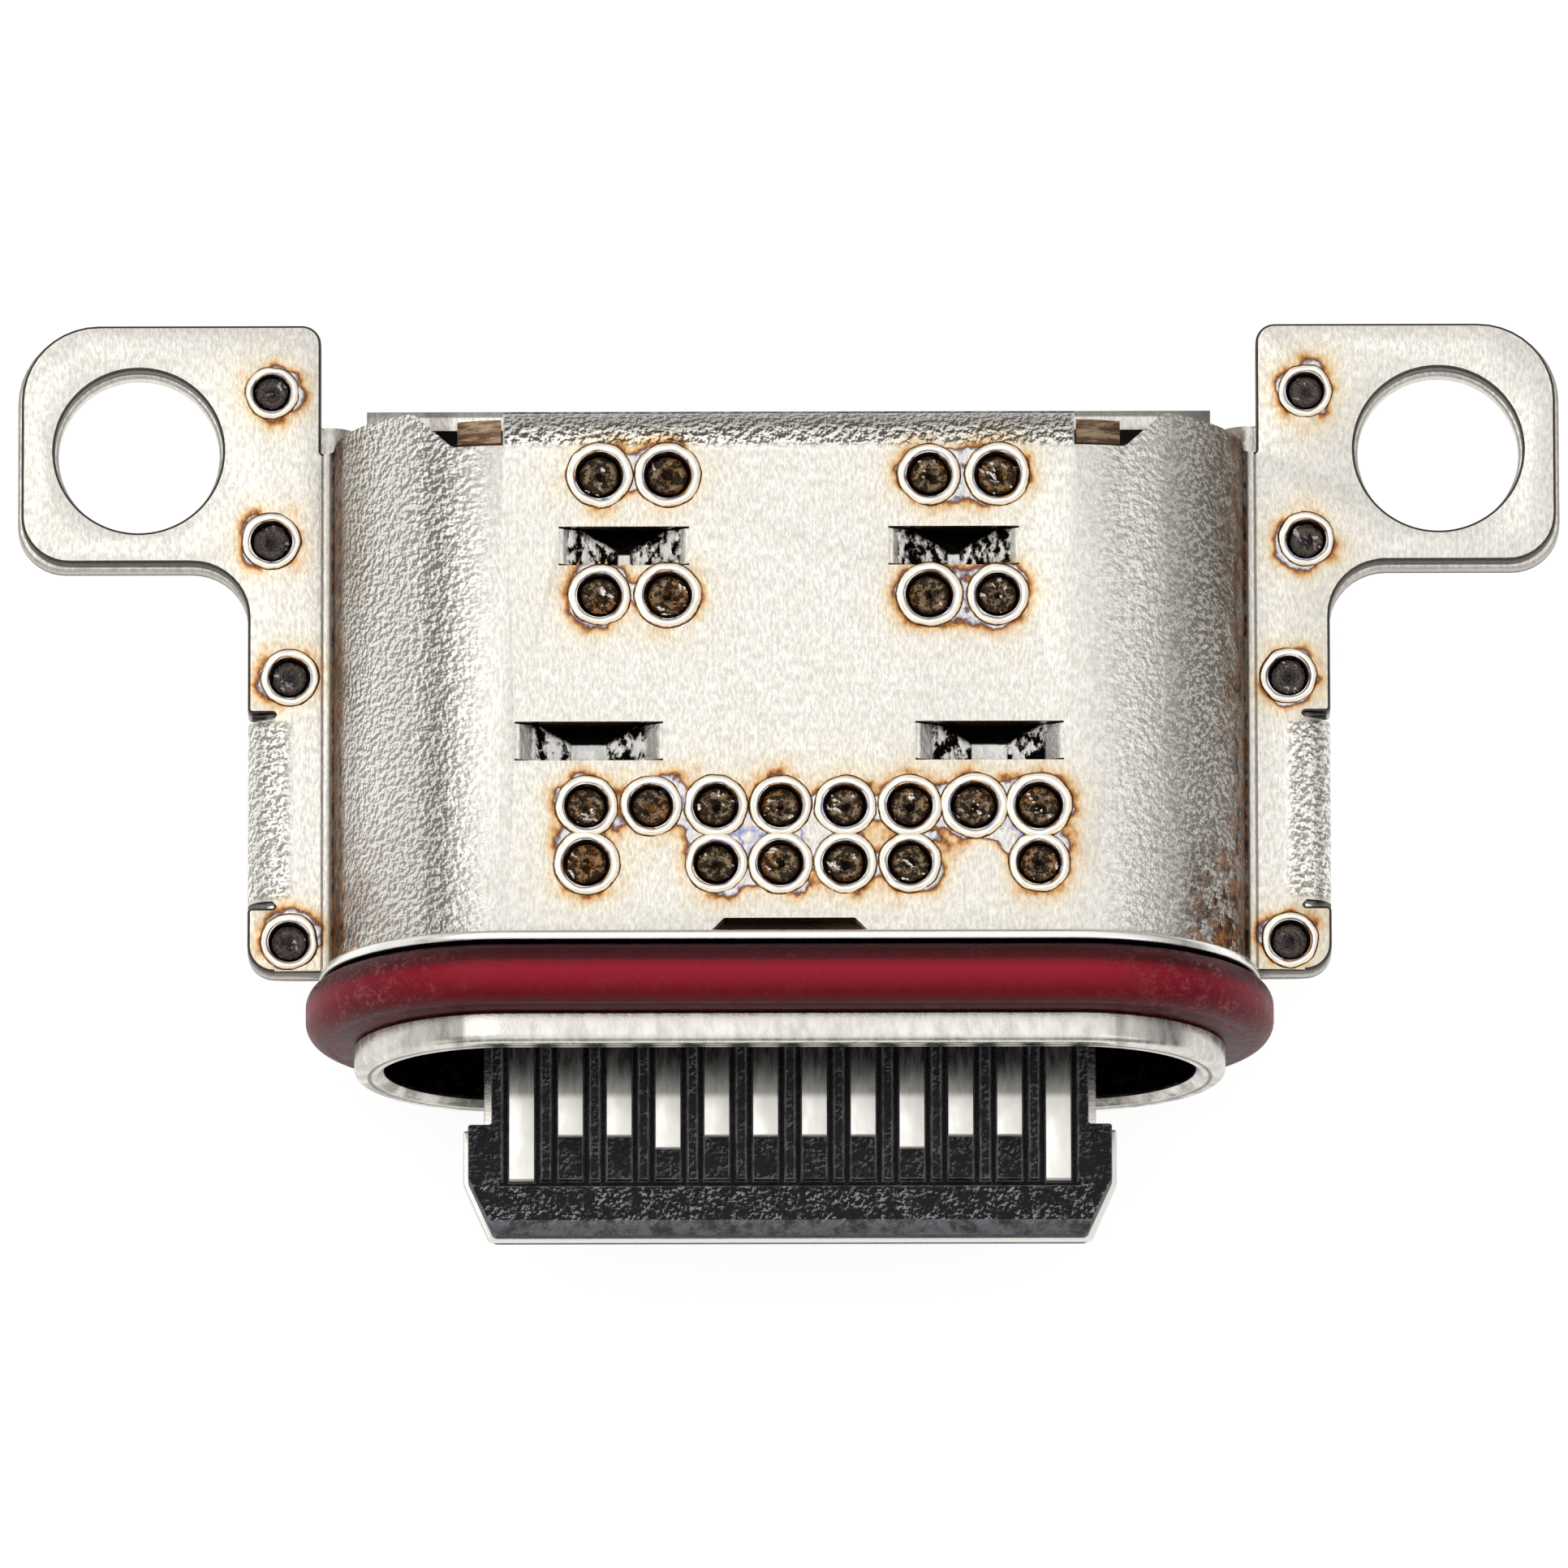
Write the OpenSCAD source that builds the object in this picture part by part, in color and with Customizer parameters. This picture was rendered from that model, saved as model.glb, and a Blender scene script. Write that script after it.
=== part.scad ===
// USB-C socket with two screw ears, for the edge of a small circuit board.
// A drawn steel shell carries a sealing ring and a tongue with two rows of twelve contacts.
// Two folded steel brackets, laser welded together, clamp the shell and end in the ears.
// Frame: the origin is the middle of the mouth, in the plane of the lip. +X is to the right of
// someone who looks at the cover with the mouth towards them, +Y runs back into the socket and
// +Z points out of the cover. Lengths are in millimetres.

/* [Mouth and shell] */
// Width of the mouth inside the shell
mouth_w = 8.34; // [8.1:0.02:8.6]
// Height of the mouth inside the shell
mouth_h = 2.56; // [2.4:0.02:2.8]
// Wall of the shell
shell_wall = 0.30; // [0.24:0.01:0.36]
// Length of the shell from the lip to its rear edge
shell_len = 6.30; // [5.8:0.05:7.2]
// Length of the bare lip in front of the sealing groove
lip_len = 0.32; // [0.25:0.01:0.5]
// Radius on the outer edge of the lip
lip_round = 0.09; // [0.04:0.01:0.14]
// Lead-in chamfer inside the lip
lip_lead_in = 0.07; // [0.03:0.01:0.12]
// Length of the sealing groove
groove_len = 0.66; // [0.5:0.01:0.9]
// Depth of the sealing groove
groove_depth = 0.12; // [0.05:0.01:0.15]
// Thickness of the collar behind the groove
collar_t = 0.12; // [0.08:0.01:0.2]
// How far the collar stands above the shell
collar_h = 0.36; // [0.3:0.01:0.5]
// Radius on the collar's front edge
collar_round = 0.05; // [0.02:0.01:0.07]
// Width of each spring tab at the rear edge of the shell
tab_w = 0.45; // [0.3:0.05:0.6]
// Length of each spring tab beyond the rear edge of the shell
tab_len = 0.27; // [0.1:0.01:0.3]

/* [Sealing ring] */
// Height of the ring's section, from the groove floor outwards
ring_h = 0.62; // [0.5:0.01:0.75]
// Radius on the ring's outer edges
ring_round = 0.22; // [0.1:0.01:0.25]
// Clearance between the ring and the front wall of its place
ring_gap = 0.01; // [0.005:0.005:0.03]

/* [Brackets] */
// Thickness of both bracket sheets
sheet_t = 0.20; // [0.15:0.01:0.22]
// Clearance between the brackets and the shell
sheet_gap = 0.02; // [0.01:0.005:0.03]
// Height of the seam between the two brackets, from the middle of the mouth
seam_z = -0.10; // [-0.2:0.01:0]
// Inside radius of the fold between arch and flange
fold_r = 0.11; // [0.08:0.01:0.15]
// How far the cover's curved ends reach beyond the shell's rear edge
cover_over = 0.35; // [0.3:0.01:0.45]
// Width of the flat flange beside the arch
flange_w = 0.88; // [0.8:0.02:1.1]
// Radius on the front corners of the flange
flange_corner_r = 0.28; // [0.1:0.02:0.4]
// Length of the lower bracket beyond the cover's curved ends
lower_extra_len = 0.275; // [0.26:0.005:0.35]

/* [Ears] */
// Distance between the two screw holes
screw_pitch = 13.40; // [13.2:0.05:14.5]
// How far the screw holes stand in front of the cover's rear edge
screw_inset = 0.02; // [0:0.01:0.2]
// Diameter of the screw holes in the lower bracket
screw_hole_d = 1.66; // [1.4:0.02:1.7]
// Extra diameter of the screw holes in the upper bracket
upper_hole_extra = 0.07; // [0.02:0.01:0.2]
// Distance from a screw hole to the ear's outer edge
ear_side = 1.21; // [1.1:0.01:1.5]
// Distance from a screw hole to the ear's front edge
ear_front = 1.19; // [1.05:0.01:1.3]
// Distance from a screw hole to the ear's rear edge
ear_rear = 1.34; // [1.1:0.01:1.6]
// Gap between the arch and the ear's inner edge
ear_gap = 0.13; // [0.1:0.01:0.2]
// Radius on the ear's rear outer corner
ear_rear_r = 0.80; // [0.4:0.05:0.95]
// Radius on the ear's front outer corner
ear_front_r = 0.50; // [0.3:0.05:0.7]
// Radius on the ear's rear inner corner
ear_inner_r = 0.20; // [0.1:0.02:0.4]
// Fillet between the ear's front edge and the flange
ear_fillet_r = 0.58; // [0.3:0.02:0.65]
// How far the lower ear stands out below the upper one
lower_ear_extra = 0.04; // [0.02:0.005:0.06]
// How far flange and trough stop short of the cover's rear edge
rear_relief = 0.05; // [0.02:0.01:0.1]

/* [Legs] */
// Distance from the collar to the front of each leg
leg_start = 0.75; // [0.6:0.05:1]
// Length of each leg along the flange
leg_len = 1.92; // [1.4:0.02:2.2]
// Inside radius of the leg's fold
leg_fold_r = 0.075; // [0.05:0.005:0.12]
// Width of the relief cut at each end of a leg
leg_relief = 0.07; // [0.05:0.01:0.15]
// Depth of the solder plane below the middle of the mouth
solder_drop = 1.90; // [1.88:0.01:2.05]

/* [Rear wall] */
// Width of the flap folded down at the rear of the cover
flap_w = 5.86; // [5.4:0.02:6]
// Distance from the cover's rear edge to the rear notches' bottom
notch_depth = 0.41; // [0.3:0.01:0.5]
// Width of each rear notch beside the flap
notch_w = 0.93; // [0.7:0.01:1]
// Run of the slanted outer side of a rear notch
notch_slant = 0.41; // [0.05:0.01:0.6]
// Width of the shallow notch in the cover's front edge
front_notch_w = 1.64; // [1.2:0.02:2]
// Depth of that notch
front_notch_depth = 0.15; // [0.05:0.01:0.2]
// Inside radius of the flap's fold
flap_fold_r = 0.18; // [0.08:0.01:0.19]
// How far the flap stands out behind the cover's curved ends
flap_set = 0.01; // [0.005:0.005:0.02]
// Height of the flap's lower edge above the middle of the mouth
flap_end_z = 0.30; // [0.1:0.05:0.5]
// Gap between the flap and the wall behind it
wall_gap = 0.03; // [0.02:0.005:0.04]
// Inside radius of the wall's fold
wall_fold_r = 0.08; // [0.05:0.01:0.12]
// Width of the wall folded up at the rear of the lower bracket
wall_w = 8.68; // [8:0.02:8.9]
// Height of that wall's upper edge above the middle of the mouth
wall_top_z = 0.67; // [0.5:0.01:0.9]

/* [Lances] */
// Distance between the middles of the front pair of lances
front_lance_pitch = 4.10; // [3.8:0.05:4.3]
// Width of a front lance
front_lance_w = 1.52; // [1.2:0.02:1.6]
// Distance from the collar to the front lances
front_lance_y = 1.81; // [1.7:0.01:1.9]
// Distance between the middles of the rear pair of lances
rear_lance_pitch = 3.38; // [3.2:0.02:3.8]
// Width of a rear lance
rear_lance_w = 1.34; // [1.1:0.02:1.4]
// Distance from the collar to the rear lances
rear_lance_y = 3.87; // [3.8:0.01:4]
// Length of every lance slot along the socket
lance_len = 0.41; // [0.3:0.01:0.5]
// Run of each sloping end of a lance
lance_slope = 0.54; // [0.25:0.01:0.6]
// Clearance round each lance
lance_gap = 0.02; // [0.01:0.005:0.03]

/* [Welds] */
// Diameter of a weld crater at the surface
crater_d = 0.46; // [0.35:0.01:0.48]
// Diameter of a crater's flat floor
crater_floor_d = 0.28; // [0.2:0.01:0.34]
// Depth of a weld crater
crater_depth = 0.06; // [0.03:0.01:0.1]
// Diameter of the raised bead round a crater
bead_d = 0.57; // [0.52:0.01:0.58]
// Height of the raised bead
bead_h = 0.02; // [0.01:0.005:0.03]
// Distance between welds in the crowded front rows
front_weld_pitch = 0.661; // [0.62:0.001:0.68]
// Distance between the two front rows of welds
front_weld_rows = 0.60; // [0.59:0.01:0.65]
// Distance from the collar to the first row of front welds
front_weld_y = 0.73; // [0.6:0.01:0.8]
// How far the front welds stand to the right of the middle
front_weld_shift = 0.24; // [0:0.02:0.3]
// Distance between the two welds of a rear pair
rear_weld_pitch = 0.70; // [0.62:0.01:0.75]
// Distance from a rear lance's middle to the welds in front of it
rear_weld_front = 0.52; // [0.5:0.01:0.6]
// Distance from a rear lance's middle to the welds behind it
rear_weld_back = 0.75; // [0.6:0.01:0.8]
// How far the rear welds stand to the right of the middle
rear_weld_shift = 0.10; // [0:0.02:0.2]
// Distance from the arch to the two flange welds beside a leg
leg_weld_x = 0.45; // [0.36:0.01:0.5]
// Distance from the collar to the flange weld in front of a leg
leg_weld_front = 0.32; // [0.3:0.01:0.4]
// Distance from a leg to the flange weld behind it
leg_weld_back = 0.45; // [0.4:0.01:0.6]
// Distance from the arch to the two welds beside a screw hole
ear_weld_x = 0.64; // [0.5:0.01:0.7]
// Distance from a screw hole to the weld in front of it
ear_weld_front = 0.96; // [0.7:0.01:1]
// Distance from a screw hole to the weld behind it
ear_weld_back = 0.62; // [0.5:0.01:0.9]

/* [Tongue] */
// How far the tongue reaches out of the mouth
tongue_reach = 1.71; // [1.5:0.01:1.9]
// Thickness of the tongue
tongue_t = 0.70; // [0.66:0.01:0.74]
// Width of the tongue's head
head_w = 6.60; // [6.5:0.01:6.66]
// Width of the tongue behind the latch notches
neck_w = 6.12; // [6.06:0.02:6.2]
// Length of the tongue's head
head_len = 1.14; // [1:0.01:1.3]
// Length of the tongue's tapered front
taper_len = 0.57; // [0.4:0.01:0.6]
// Run of the taper on each side
taper_run = 0.26; // [0.15:0.01:0.3]
// Run of the chamfer along the tongue's front edge
nose_chamfer = 0.12; // [0.08:0.01:0.15]
// Drop of that chamfer
nose_drop = 0.15; // [0.08:0.01:0.2]
// Distance from the tongue's tip to the cross groove
cross_groove_y = 0.49; // [0.4:0.01:0.52]
// Width of the cross groove and of the grooves beside each contact
groove_w = 0.07; // [0.04:0.01:0.08]
// Depth of those grooves
groove_d = 0.09; // [0.04:0.01:0.1]
// Thickness of the latch plate between the tongue's halves
plate_t = 0.12; // [0.1:0.01:0.16]
// Width of the latch plate's head
plate_head_w = 6.70; // [6.68:0.01:6.9]
// Width of the latch plate's neck
plate_neck_w = 6.28; // [6.22:0.02:6.4]
// How far the latch plate shows at the tip
plate_lead = 0.02; // [0.01:0.01:0.05]
// Distance from the mouth to the step at the tongue's root
root_y = 2.74; // [2.6:0.02:2.9]
// Distance from the mouth to the socket's back wall
back_wall_y = 3.60; // [3.5:0.02:3.7]
// Thickness of the tongue's root
root_t = 1.20; // [1.1:0.02:1.3]
// Width of the tongue's root
root_w = 7.00; // [6.8:0.05:7.2]
// Thickness of the two shielding plates on the root
emc_t = 0.10; // [0.08:0.01:0.12]
// Width of the shielding plates
emc_w = 6.00; // [5.6:0.05:6.4]
// How far the shielding plates reach into the housing
emc_hold = 0.50; // [0.3:0.05:0.6]
// Gap between the plates' folded front edges and the tongue
emc_gap = 0.05; // [0.03:0.01:0.08]

/* [Contacts] */
// Distance between contacts
contact_pitch = 0.50; // [0.48:0.005:0.51]
// Width of a contact
contact_w = 0.26; // [0.22:0.01:0.28]
// Thickness of the contact sheet
contact_t = 0.12; // [0.1:0.01:0.14]
// Inside radius of a contact's bends
contact_bend_r = 0.08; // [0.05:0.01:0.12]
// Distance from the tongue's tip to the signal contacts
signal_tip = 1.01; // [0.9:0.01:1.1]
// Distance from the tongue's tip to the power contacts
power_tip = 0.88; // [0.8:0.01:0.95]
// Distance from the tongue's tip to the ground contacts
ground_tip = 0.545; // [0.53:0.005:0.7]
// Length of each solder foot
foot_len = 0.38; // [0.3:0.01:0.42]
// Distance from the back wall to the front row of solder feet
front_row_y = 0.75; // [0.7:0.01:0.8]
// Distance from the shell's rear edge to the rear row of solder feet
rear_row_inset = 0.56; // [0.53:0.01:0.6]
// Clearance beside a contact in its plastic
insert_gap = 0.01; // [0.005:0.005:0.015]
// Room round the solder feet in the openings over them
foot_room = 0.10; // [0.05:0.01:0.12]

/* [Housing] */
// Clearance between the housing and the shell
housing_gap = 0.02; // [0.01:0.005:0.03]
// Distance between the rear faces of housing and shell
housing_inset = 0.05; // [0.02:0.01:0.15]

/* [Hidden] */
$fn = 64;
tongue_plastics = ["housing", "upper_wafer", "lower_wafer"];
tongue_sheets = ["mid_plate", "upper_emc_plate", "lower_emc_plate"];
contact_count = 12;

steel = "#c9c4ba";
seal_red = "#7a1420";
black_plastic = "#232326";
contact_metal = "#e8e2d4";

eps = 0.01;        // what a cutter reaches past the faces it opens
far = 20;          // more than the socket's length or half its width

// Radii round the spine of the mouth's stadium shape
spine = (mouth_w - mouth_h) / 2;
mouth_r = mouth_h / 2;
shell_r = mouth_r + shell_wall;
groove_r = shell_r - groove_depth;
collar_r = shell_r + collar_h;
bracket_r = shell_r + sheet_gap;
arch_r = bracket_r + sheet_t;
arch_half = spine + arch_r;

// Stations along the socket
collar_y = lip_len + groove_len;
bracket_y = collar_y + collar_t;
cover_end = shell_len + cover_over;
cover_len = cover_end - bracket_y;
lower_end = cover_end + lower_extra_len;
notch_y = cover_end - notch_depth;
flap_y = cover_end + flap_set - sheet_t;
wall_y = flap_y + sheet_t + wall_gap;
leg_y = bracket_y + leg_start;

// Ears and flange
flange_half = arch_half + flange_w;
ear_in = arch_half + ear_gap;
ear_out = screw_pitch / 2 + ear_side;
screw_y = cover_end - screw_inset;
ear_y0 = screw_y - ear_front;
ear_y1 = screw_y + ear_rear;
relief_y = cover_end - rear_relief;
leg_bend = leg_fold_r + sheet_t;

// Tongue
tip_y = -tongue_reach;
half_t = tongue_t / 2;
lane_z = half_t - contact_t;
contact_slot_w = contact_w + 2 * insert_gap;
front_drop_y = back_wall_y + front_row_y;
rear_drop_y = shell_len - rear_row_inset;
housing_end = shell_len - housing_inset;
wafer_end = front_drop_y - contact_bend_r - contact_t;
window_w = contact_count * contact_pitch + foot_room;

// ---- Shapes that several pieces share ----

// Extrudes an outline drawn in X and Z from y0 back to y1
module along_y(y0, y1) {
    translate([0, y1, 0])
        rotate([90, 0, 0])
            linear_extrude(y1 - y0)
                children();
}

// Extrudes an outline drawn in Y and Z, w wide and centred on x
module along_x(x, w) {
    translate([x - w / 2, 0, 0])
        rotate([90, 0, 90])
            linear_extrude(w)
                children();
}

// Repeats its children on the left and on the right
module both_sides() {
    for (side = [0, 1])
        mirror([side, 0, 0])
            children();
}

// The mouth's shape at radius r from its spine
module stadium(r) {
    square([2 * spine, 2 * r], center = true);
    both_sides()
        translate([spine, 0])
            circle(r);
}

// Carries a wall's section, drawn as distance from the spine and distance behind the mouth,
// round the mouth's shape
module round_the_mouth() {
    rotate([-90, 0, 0]) {
        both_sides()
            translate([spine, 0, 0])
                rotate([0, 0, -90])
                    rotate_extrude(angle = 180)
                        children();
        for (face = [0, 1])
            mirror([0, face, 0])
                translate([-spine, 0, 0])
                    rotate([90, 0, 90])
                        linear_extrude(2 * spine)
                            children();
    }
}

// A quarter of a bent sheet's edge, from straight up to straight right of the bend's centre
module quarter_bend(r, t) {
    intersection() {
        difference() {
            circle(r + t);
            circle(r);
        }
        square(r + t);
    }
}

// Fills an inner corner at the origin, open towards +X and +Y, with a fillet of radius r
module corner_fillet(r) {
    difference() {
        translate([-eps, -eps])
            square(r + eps);
        translate([r, r])
            circle(r);
    }
}

// A rectangle from corner a to corner b with its own radius at each corner, taken anticlockwise
// from the lower left
module cornered(a, b, radii) {
    middle = (a + b) / 2;
    size = b - a;
    difference() {
        translate(a)
            square(size);
        for (i = [0:3])
            if (radii[i] > 0) {
                sx = (i == 0 || i == 3) ? 1 : -1;
                sy = i < 2 ? 1 : -1;
                translate([middle[0] - sx * size[0] / 2, middle[1] - sy * size[1] / 2])
                    mirror([sx < 0 ? 1 : 0, 0])
                        mirror([0, sy < 0 ? 1 : 0])
                            corner_fillet(radii[i]);
            }
    }
}

// ---- Shell ----

module shell_section() {
    difference() {
        union() {
            translate([mouth_r, 0])
                square([shell_wall, lip_len]);
            translate([mouth_r, lip_len - eps])
                square([shell_wall - groove_depth, groove_len + 2 * eps]);
            translate([mouth_r, collar_y])
                square([shell_wall + collar_h, collar_t]);
            translate([mouth_r, bracket_y - eps])
                square([shell_wall, shell_len + tab_len - bracket_y + eps]);
        }
        translate([shell_r, 0])
            mirror([1, 0])
                corner_fillet(lip_round);
        translate([collar_r, collar_y])
            mirror([1, 0])
                corner_fillet(collar_round);
        polygon([
            [mouth_r - eps, -eps],
            [mouth_r + lip_lead_in + eps, -eps],
            [mouth_r - eps, lip_lead_in + eps]
        ]);
    }
}

module shell() {
    color(steel)
        difference() {
            round_the_mouth()
                shell_section();
            // The rear edge, from which only the two spring tabs stand out
            difference() {
                translate([-far, shell_len, -far])
                    cube([2 * far, far, 2 * far]);
                both_sides()
                    translate([flap_w / 2 + sheet_gap, shell_len - eps, mouth_r / 2])
                        cube([tab_w, 2 * far, far]);
            }
            // The open floor over both rows of solder feet
            translate([-window_w / 2, front_drop_y - foot_room, -far])
                cube([window_w, far, far]);
            lance_slots(0);
        }
}

// ---- Sealing ring ----

module ring_section() {
    ring_len = groove_len - ring_gap;
    translate([groove_r, lip_len + ring_gap])
        difference() {
            square([ring_h, ring_len]);
            translate([ring_h, 0])
                mirror([1, 0])
                    corner_fillet(ring_round);
            translate([ring_h, ring_len])
                mirror([1, 0])
                    mirror([0, 1])
                        corner_fillet(ring_round);
        }
}

module sealing_ring() {
    color(seal_red)
        round_the_mouth()
            ring_section();
}

// ---- Lances: strips of the cover pushed down into slots of the shell ----

module for_each_lance() {
    both_sides() {
        translate([front_lance_pitch / 2, bracket_y + front_lance_y, 0])
            with_lance_width(front_lance_w)
                children();
        translate([rear_lance_pitch / 2, bracket_y + rear_lance_y, 0])
            with_lance_width(rear_lance_w)
                children();
    }
}

// Hands a lance's width to the shape that it places
module with_lance_width(w) {
    $lance_w = w;
    children();
}

module lance_slots(z0) {
    for_each_lance()
        translate([-$lance_w / 2, 0, z0])
            cube([$lance_w, lance_len, far]);
}

module lance_strip() {
    half = $lance_w / 2;
    root = 2 * eps;
    low = half - lance_slope;
    drop = arch_r - sheet_t - mouth_r;
    top = [[-half - root, 0], [-half, 0], [-low, -drop], [low, -drop], [half, 0], [half + root, 0]];
    translate([0, lance_gap, arch_r])
        along_y(0, lance_len - 2 * lance_gap)
            polygon(concat(top, [for (i = [len(top) - 1:-1:0]) top[i] - [0, sheet_t]]));
}

// ---- Welds ----

// Where the cover is welded to the shell, as [x, y] from the middle of the cover's front edge
front_welds = [
    for (row = [0, 1], n = [0:7])
        if (row == 0 || (n != 1 && n != 6))
            [(n - 3.5) * front_weld_pitch + front_weld_shift, front_weld_y + (1 - row) * front_weld_rows]
];
rear_welds = [
    for (side = [-1, 1], row = [-rear_weld_front, rear_weld_back], end = [-0.5, 0.5])
        [
            side * rear_lance_pitch / 2 + end * rear_weld_pitch + rear_weld_shift,
            rear_lance_y + lance_len / 2 + row
        ]
];

// Where the two flanges are welded together on the right, likewise
flange_welds = [
    [arch_half + leg_weld_x, leg_weld_front],
    [arch_half + leg_weld_x, leg_start + leg_len + leg_weld_back],
    [arch_half + ear_weld_x, screw_y - bracket_y - ear_weld_front],
    [arch_half + ear_weld_x, screw_y - bracket_y + ear_weld_back]
];

module weld_crater() {
    flare = (crater_d - crater_floor_d) * bead_h / crater_depth;
    translate([0, 0, -crater_depth])
        cylinder(d1 = crater_floor_d, d2 = crater_d + flare, h = crater_depth + bead_h);
}

module weld_bead() {
    rotate_extrude()
        polygon([
            [crater_d / 2 - eps, -eps],
            [bead_d / 2, -eps],
            [bead_d / 2, 0],
            [(crater_d + bead_d) / 4, bead_h],
            [crater_d / 2 - eps, bead_h / 2]
        ]);
}

module place_welds(spots, z) {
    for (spot = spots)
        translate([spot[0], bracket_y + spot[1], z])
            children();
}

module place_all_welds() {
    place_welds(concat(front_welds, rear_welds), arch_r)
        children();
    both_sides()
        place_welds(flange_welds, seam_z + sheet_t)
            children();
}

// ---- Brackets ----

// One face of a bracket sheet in section: d is its distance from the inner face, and side is 1 for
// the upper bracket and -1 for the lower
module sheet_face(side, d) {
    fold_z = seam_z + side * (sheet_t + fold_r);
    fold_x = spine + sqrt(pow(arch_r + fold_r, 2) - pow(fold_z, 2));
    face_z = seam_z + side * d;
    stadium(bracket_r + d);
    if (d > 0)
        translate([-far, min(seam_z, face_z)])
            square([2 * far, d]);
    both_sides()
        difference() {
            polygon([
                [spine, 0],
                [fold_x, fold_z],
                [fold_x, face_z],
                [spine, -side * mouth_r / 2]
            ]);
            translate([fold_x, fold_z])
                circle(fold_r + sheet_t - d);
        }
}

// The bent sheet in section, endless to both sides
module sheet_section(side) {
    difference() {
        sheet_face(side, sheet_t);
        sheet_face(side, 0);
        translate([-2 * far, seam_z - (side > 0 ? 2 * far : 0)])
            square([4 * far, 2 * far]);
    }
}

// Flange and ears seen from above, between the collar and the ears' rear edge. Extra widens the
// ears, inner_end is where the flange beside the arch ends
module flange_outline(extra, inner_end) {
    difference() {
        union() {
            cornered(
                [-flange_half, bracket_y],
                [flange_half, inner_end],
                [flange_corner_r, flange_corner_r, 0, 0]
            );
            both_sides() {
                cornered(
                    [ear_in, ear_y0 - extra],
                    [ear_out + extra, ear_y1 + extra / 2],
                    [0, ear_front_r, ear_rear_r, ear_inner_r]
                );
                translate([flange_half, ear_y0 - extra])
                    mirror([0, 1])
                        corner_fillet(ear_fillet_r);
            }
        }
        // Relief cuts at both ends of each leg
        both_sides()
            for (y = [leg_y - leg_relief, leg_y + leg_len])
                translate([flange_half - leg_bend, y])
                    square([far, leg_relief]);
    }
}

module screw_holes(d) {
    both_sides()
        translate([screw_pitch / 2, screw_y, -far / 2])
            cylinder(d = d, h = far);
}

// Leg in front view: out of the flange, round the fold and down to the board
module leg_section() {
    fold_x = flange_half - leg_bend;
    fold_z = seam_z - leg_fold_r;
    translate([fold_x - eps, seam_z])
        square([2 * eps, sheet_t]);
    translate([fold_x, fold_z])
        quarter_bend(leg_fold_r, sheet_t);
    translate([fold_x + leg_fold_r, -solder_drop])
        square([sheet_t, solder_drop + fold_z + eps]);
}

// Rear flap in side view: back along the cover, round the fold and down
module flap_section() {
    // The fold can't start in front of the notches' bottom
    r = min(flap_fold_r, flap_y - notch_y);
    fold_y = flap_y - r;
    fold_z = bracket_r - r;
    translate([notch_y - 2 * eps, bracket_r])
        square([fold_y - notch_y + 3 * eps, sheet_t]);
    translate([fold_y, fold_z])
        quarter_bend(r, sheet_t);
    translate([flap_y, flap_end_z])
        square([sheet_t, fold_z - flap_end_z + eps]);
}

module upper_bracket() {
    color(steel)
        difference() {
            union() {
                difference() {
                    intersection() {
                        along_y(bracket_y, ear_y1)
                            sheet_section(1);
                        union() {
                            // The arch, up to the cover's rear edge
                            translate([-arch_half, bracket_y, seam_z])
                                cube([2 * arch_half, cover_len, far]);
                            translate([0, 0, seam_z])
                                linear_extrude(sheet_t + fold_r)
                                    flange_outline(0, relief_y);
                        }
                    }
                    // The flange gives way to the legs
                    both_sides()
                        translate([flange_half - leg_bend, leg_y, -far])
                            cube([far, leg_len, 2 * far]);
                    // Rear notches and the place of the flap
                    rear_notches();
                    cover_front_notch();
                    lance_slots(0);
                }
                both_sides()
                    along_y(leg_y, leg_y + leg_len)
                        leg_section();
                along_x(0, flap_w)
                    flap_section();
                for_each_lance()
                    lance_strip();
                place_all_welds()
                    weld_bead();
            }
            screw_holes(screw_hole_d + upper_hole_extra);
            place_all_welds()
                weld_crater();
        }
}

// Opens the cover's rear edge: the flap's place, and a notch with a slanted side on each side of it
module rear_notches() {
    outer = flap_w / 2 + notch_w;
    translate([0, 0, bracket_r / 2])
        linear_extrude(far)
            polygon([
                [-outer, cover_end + eps],
                [-outer + notch_slant, notch_y],
                [outer - notch_slant, notch_y],
                [outer, cover_end + eps]
            ]);
}

// A shallow tapered notch in the cover's front edge
module cover_front_notch() {
    half = front_notch_w / 2;
    translate([0, bracket_y, mouth_r])
        linear_extrude(far)
            polygon([
                [-half, -eps],
                [front_notch_depth - half, front_notch_depth],
                [half - front_notch_depth, front_notch_depth],
                [half, -eps]
            ]);
}

// The lower bracket's windows, over the front and the rear row of solder feet
module foot_windows() {
    for (y = [front_drop_y, rear_drop_y])
        translate([-window_w / 2, y - foot_room, -far])
            cube([window_w, contact_t + contact_bend_r + foot_len + 2 * foot_room, far]);
}

// Rear wall in side view: back along the floor, round the fold and up
module wall_section() {
    fold_y = wall_y - wall_fold_r;
    fold_z = -bracket_r + wall_fold_r;
    floor_y = rear_drop_y + contact_t + contact_bend_r + foot_len + foot_room;
    translate([floor_y + eps, -arch_r])
        square([fold_y - floor_y, sheet_t]);
    translate([fold_y, fold_z])
        mirror([0, 1])
            quarter_bend(wall_fold_r, sheet_t);
    translate([wall_y, fold_z - eps])
        square([sheet_t, wall_top_z - fold_z + eps]);
}

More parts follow.
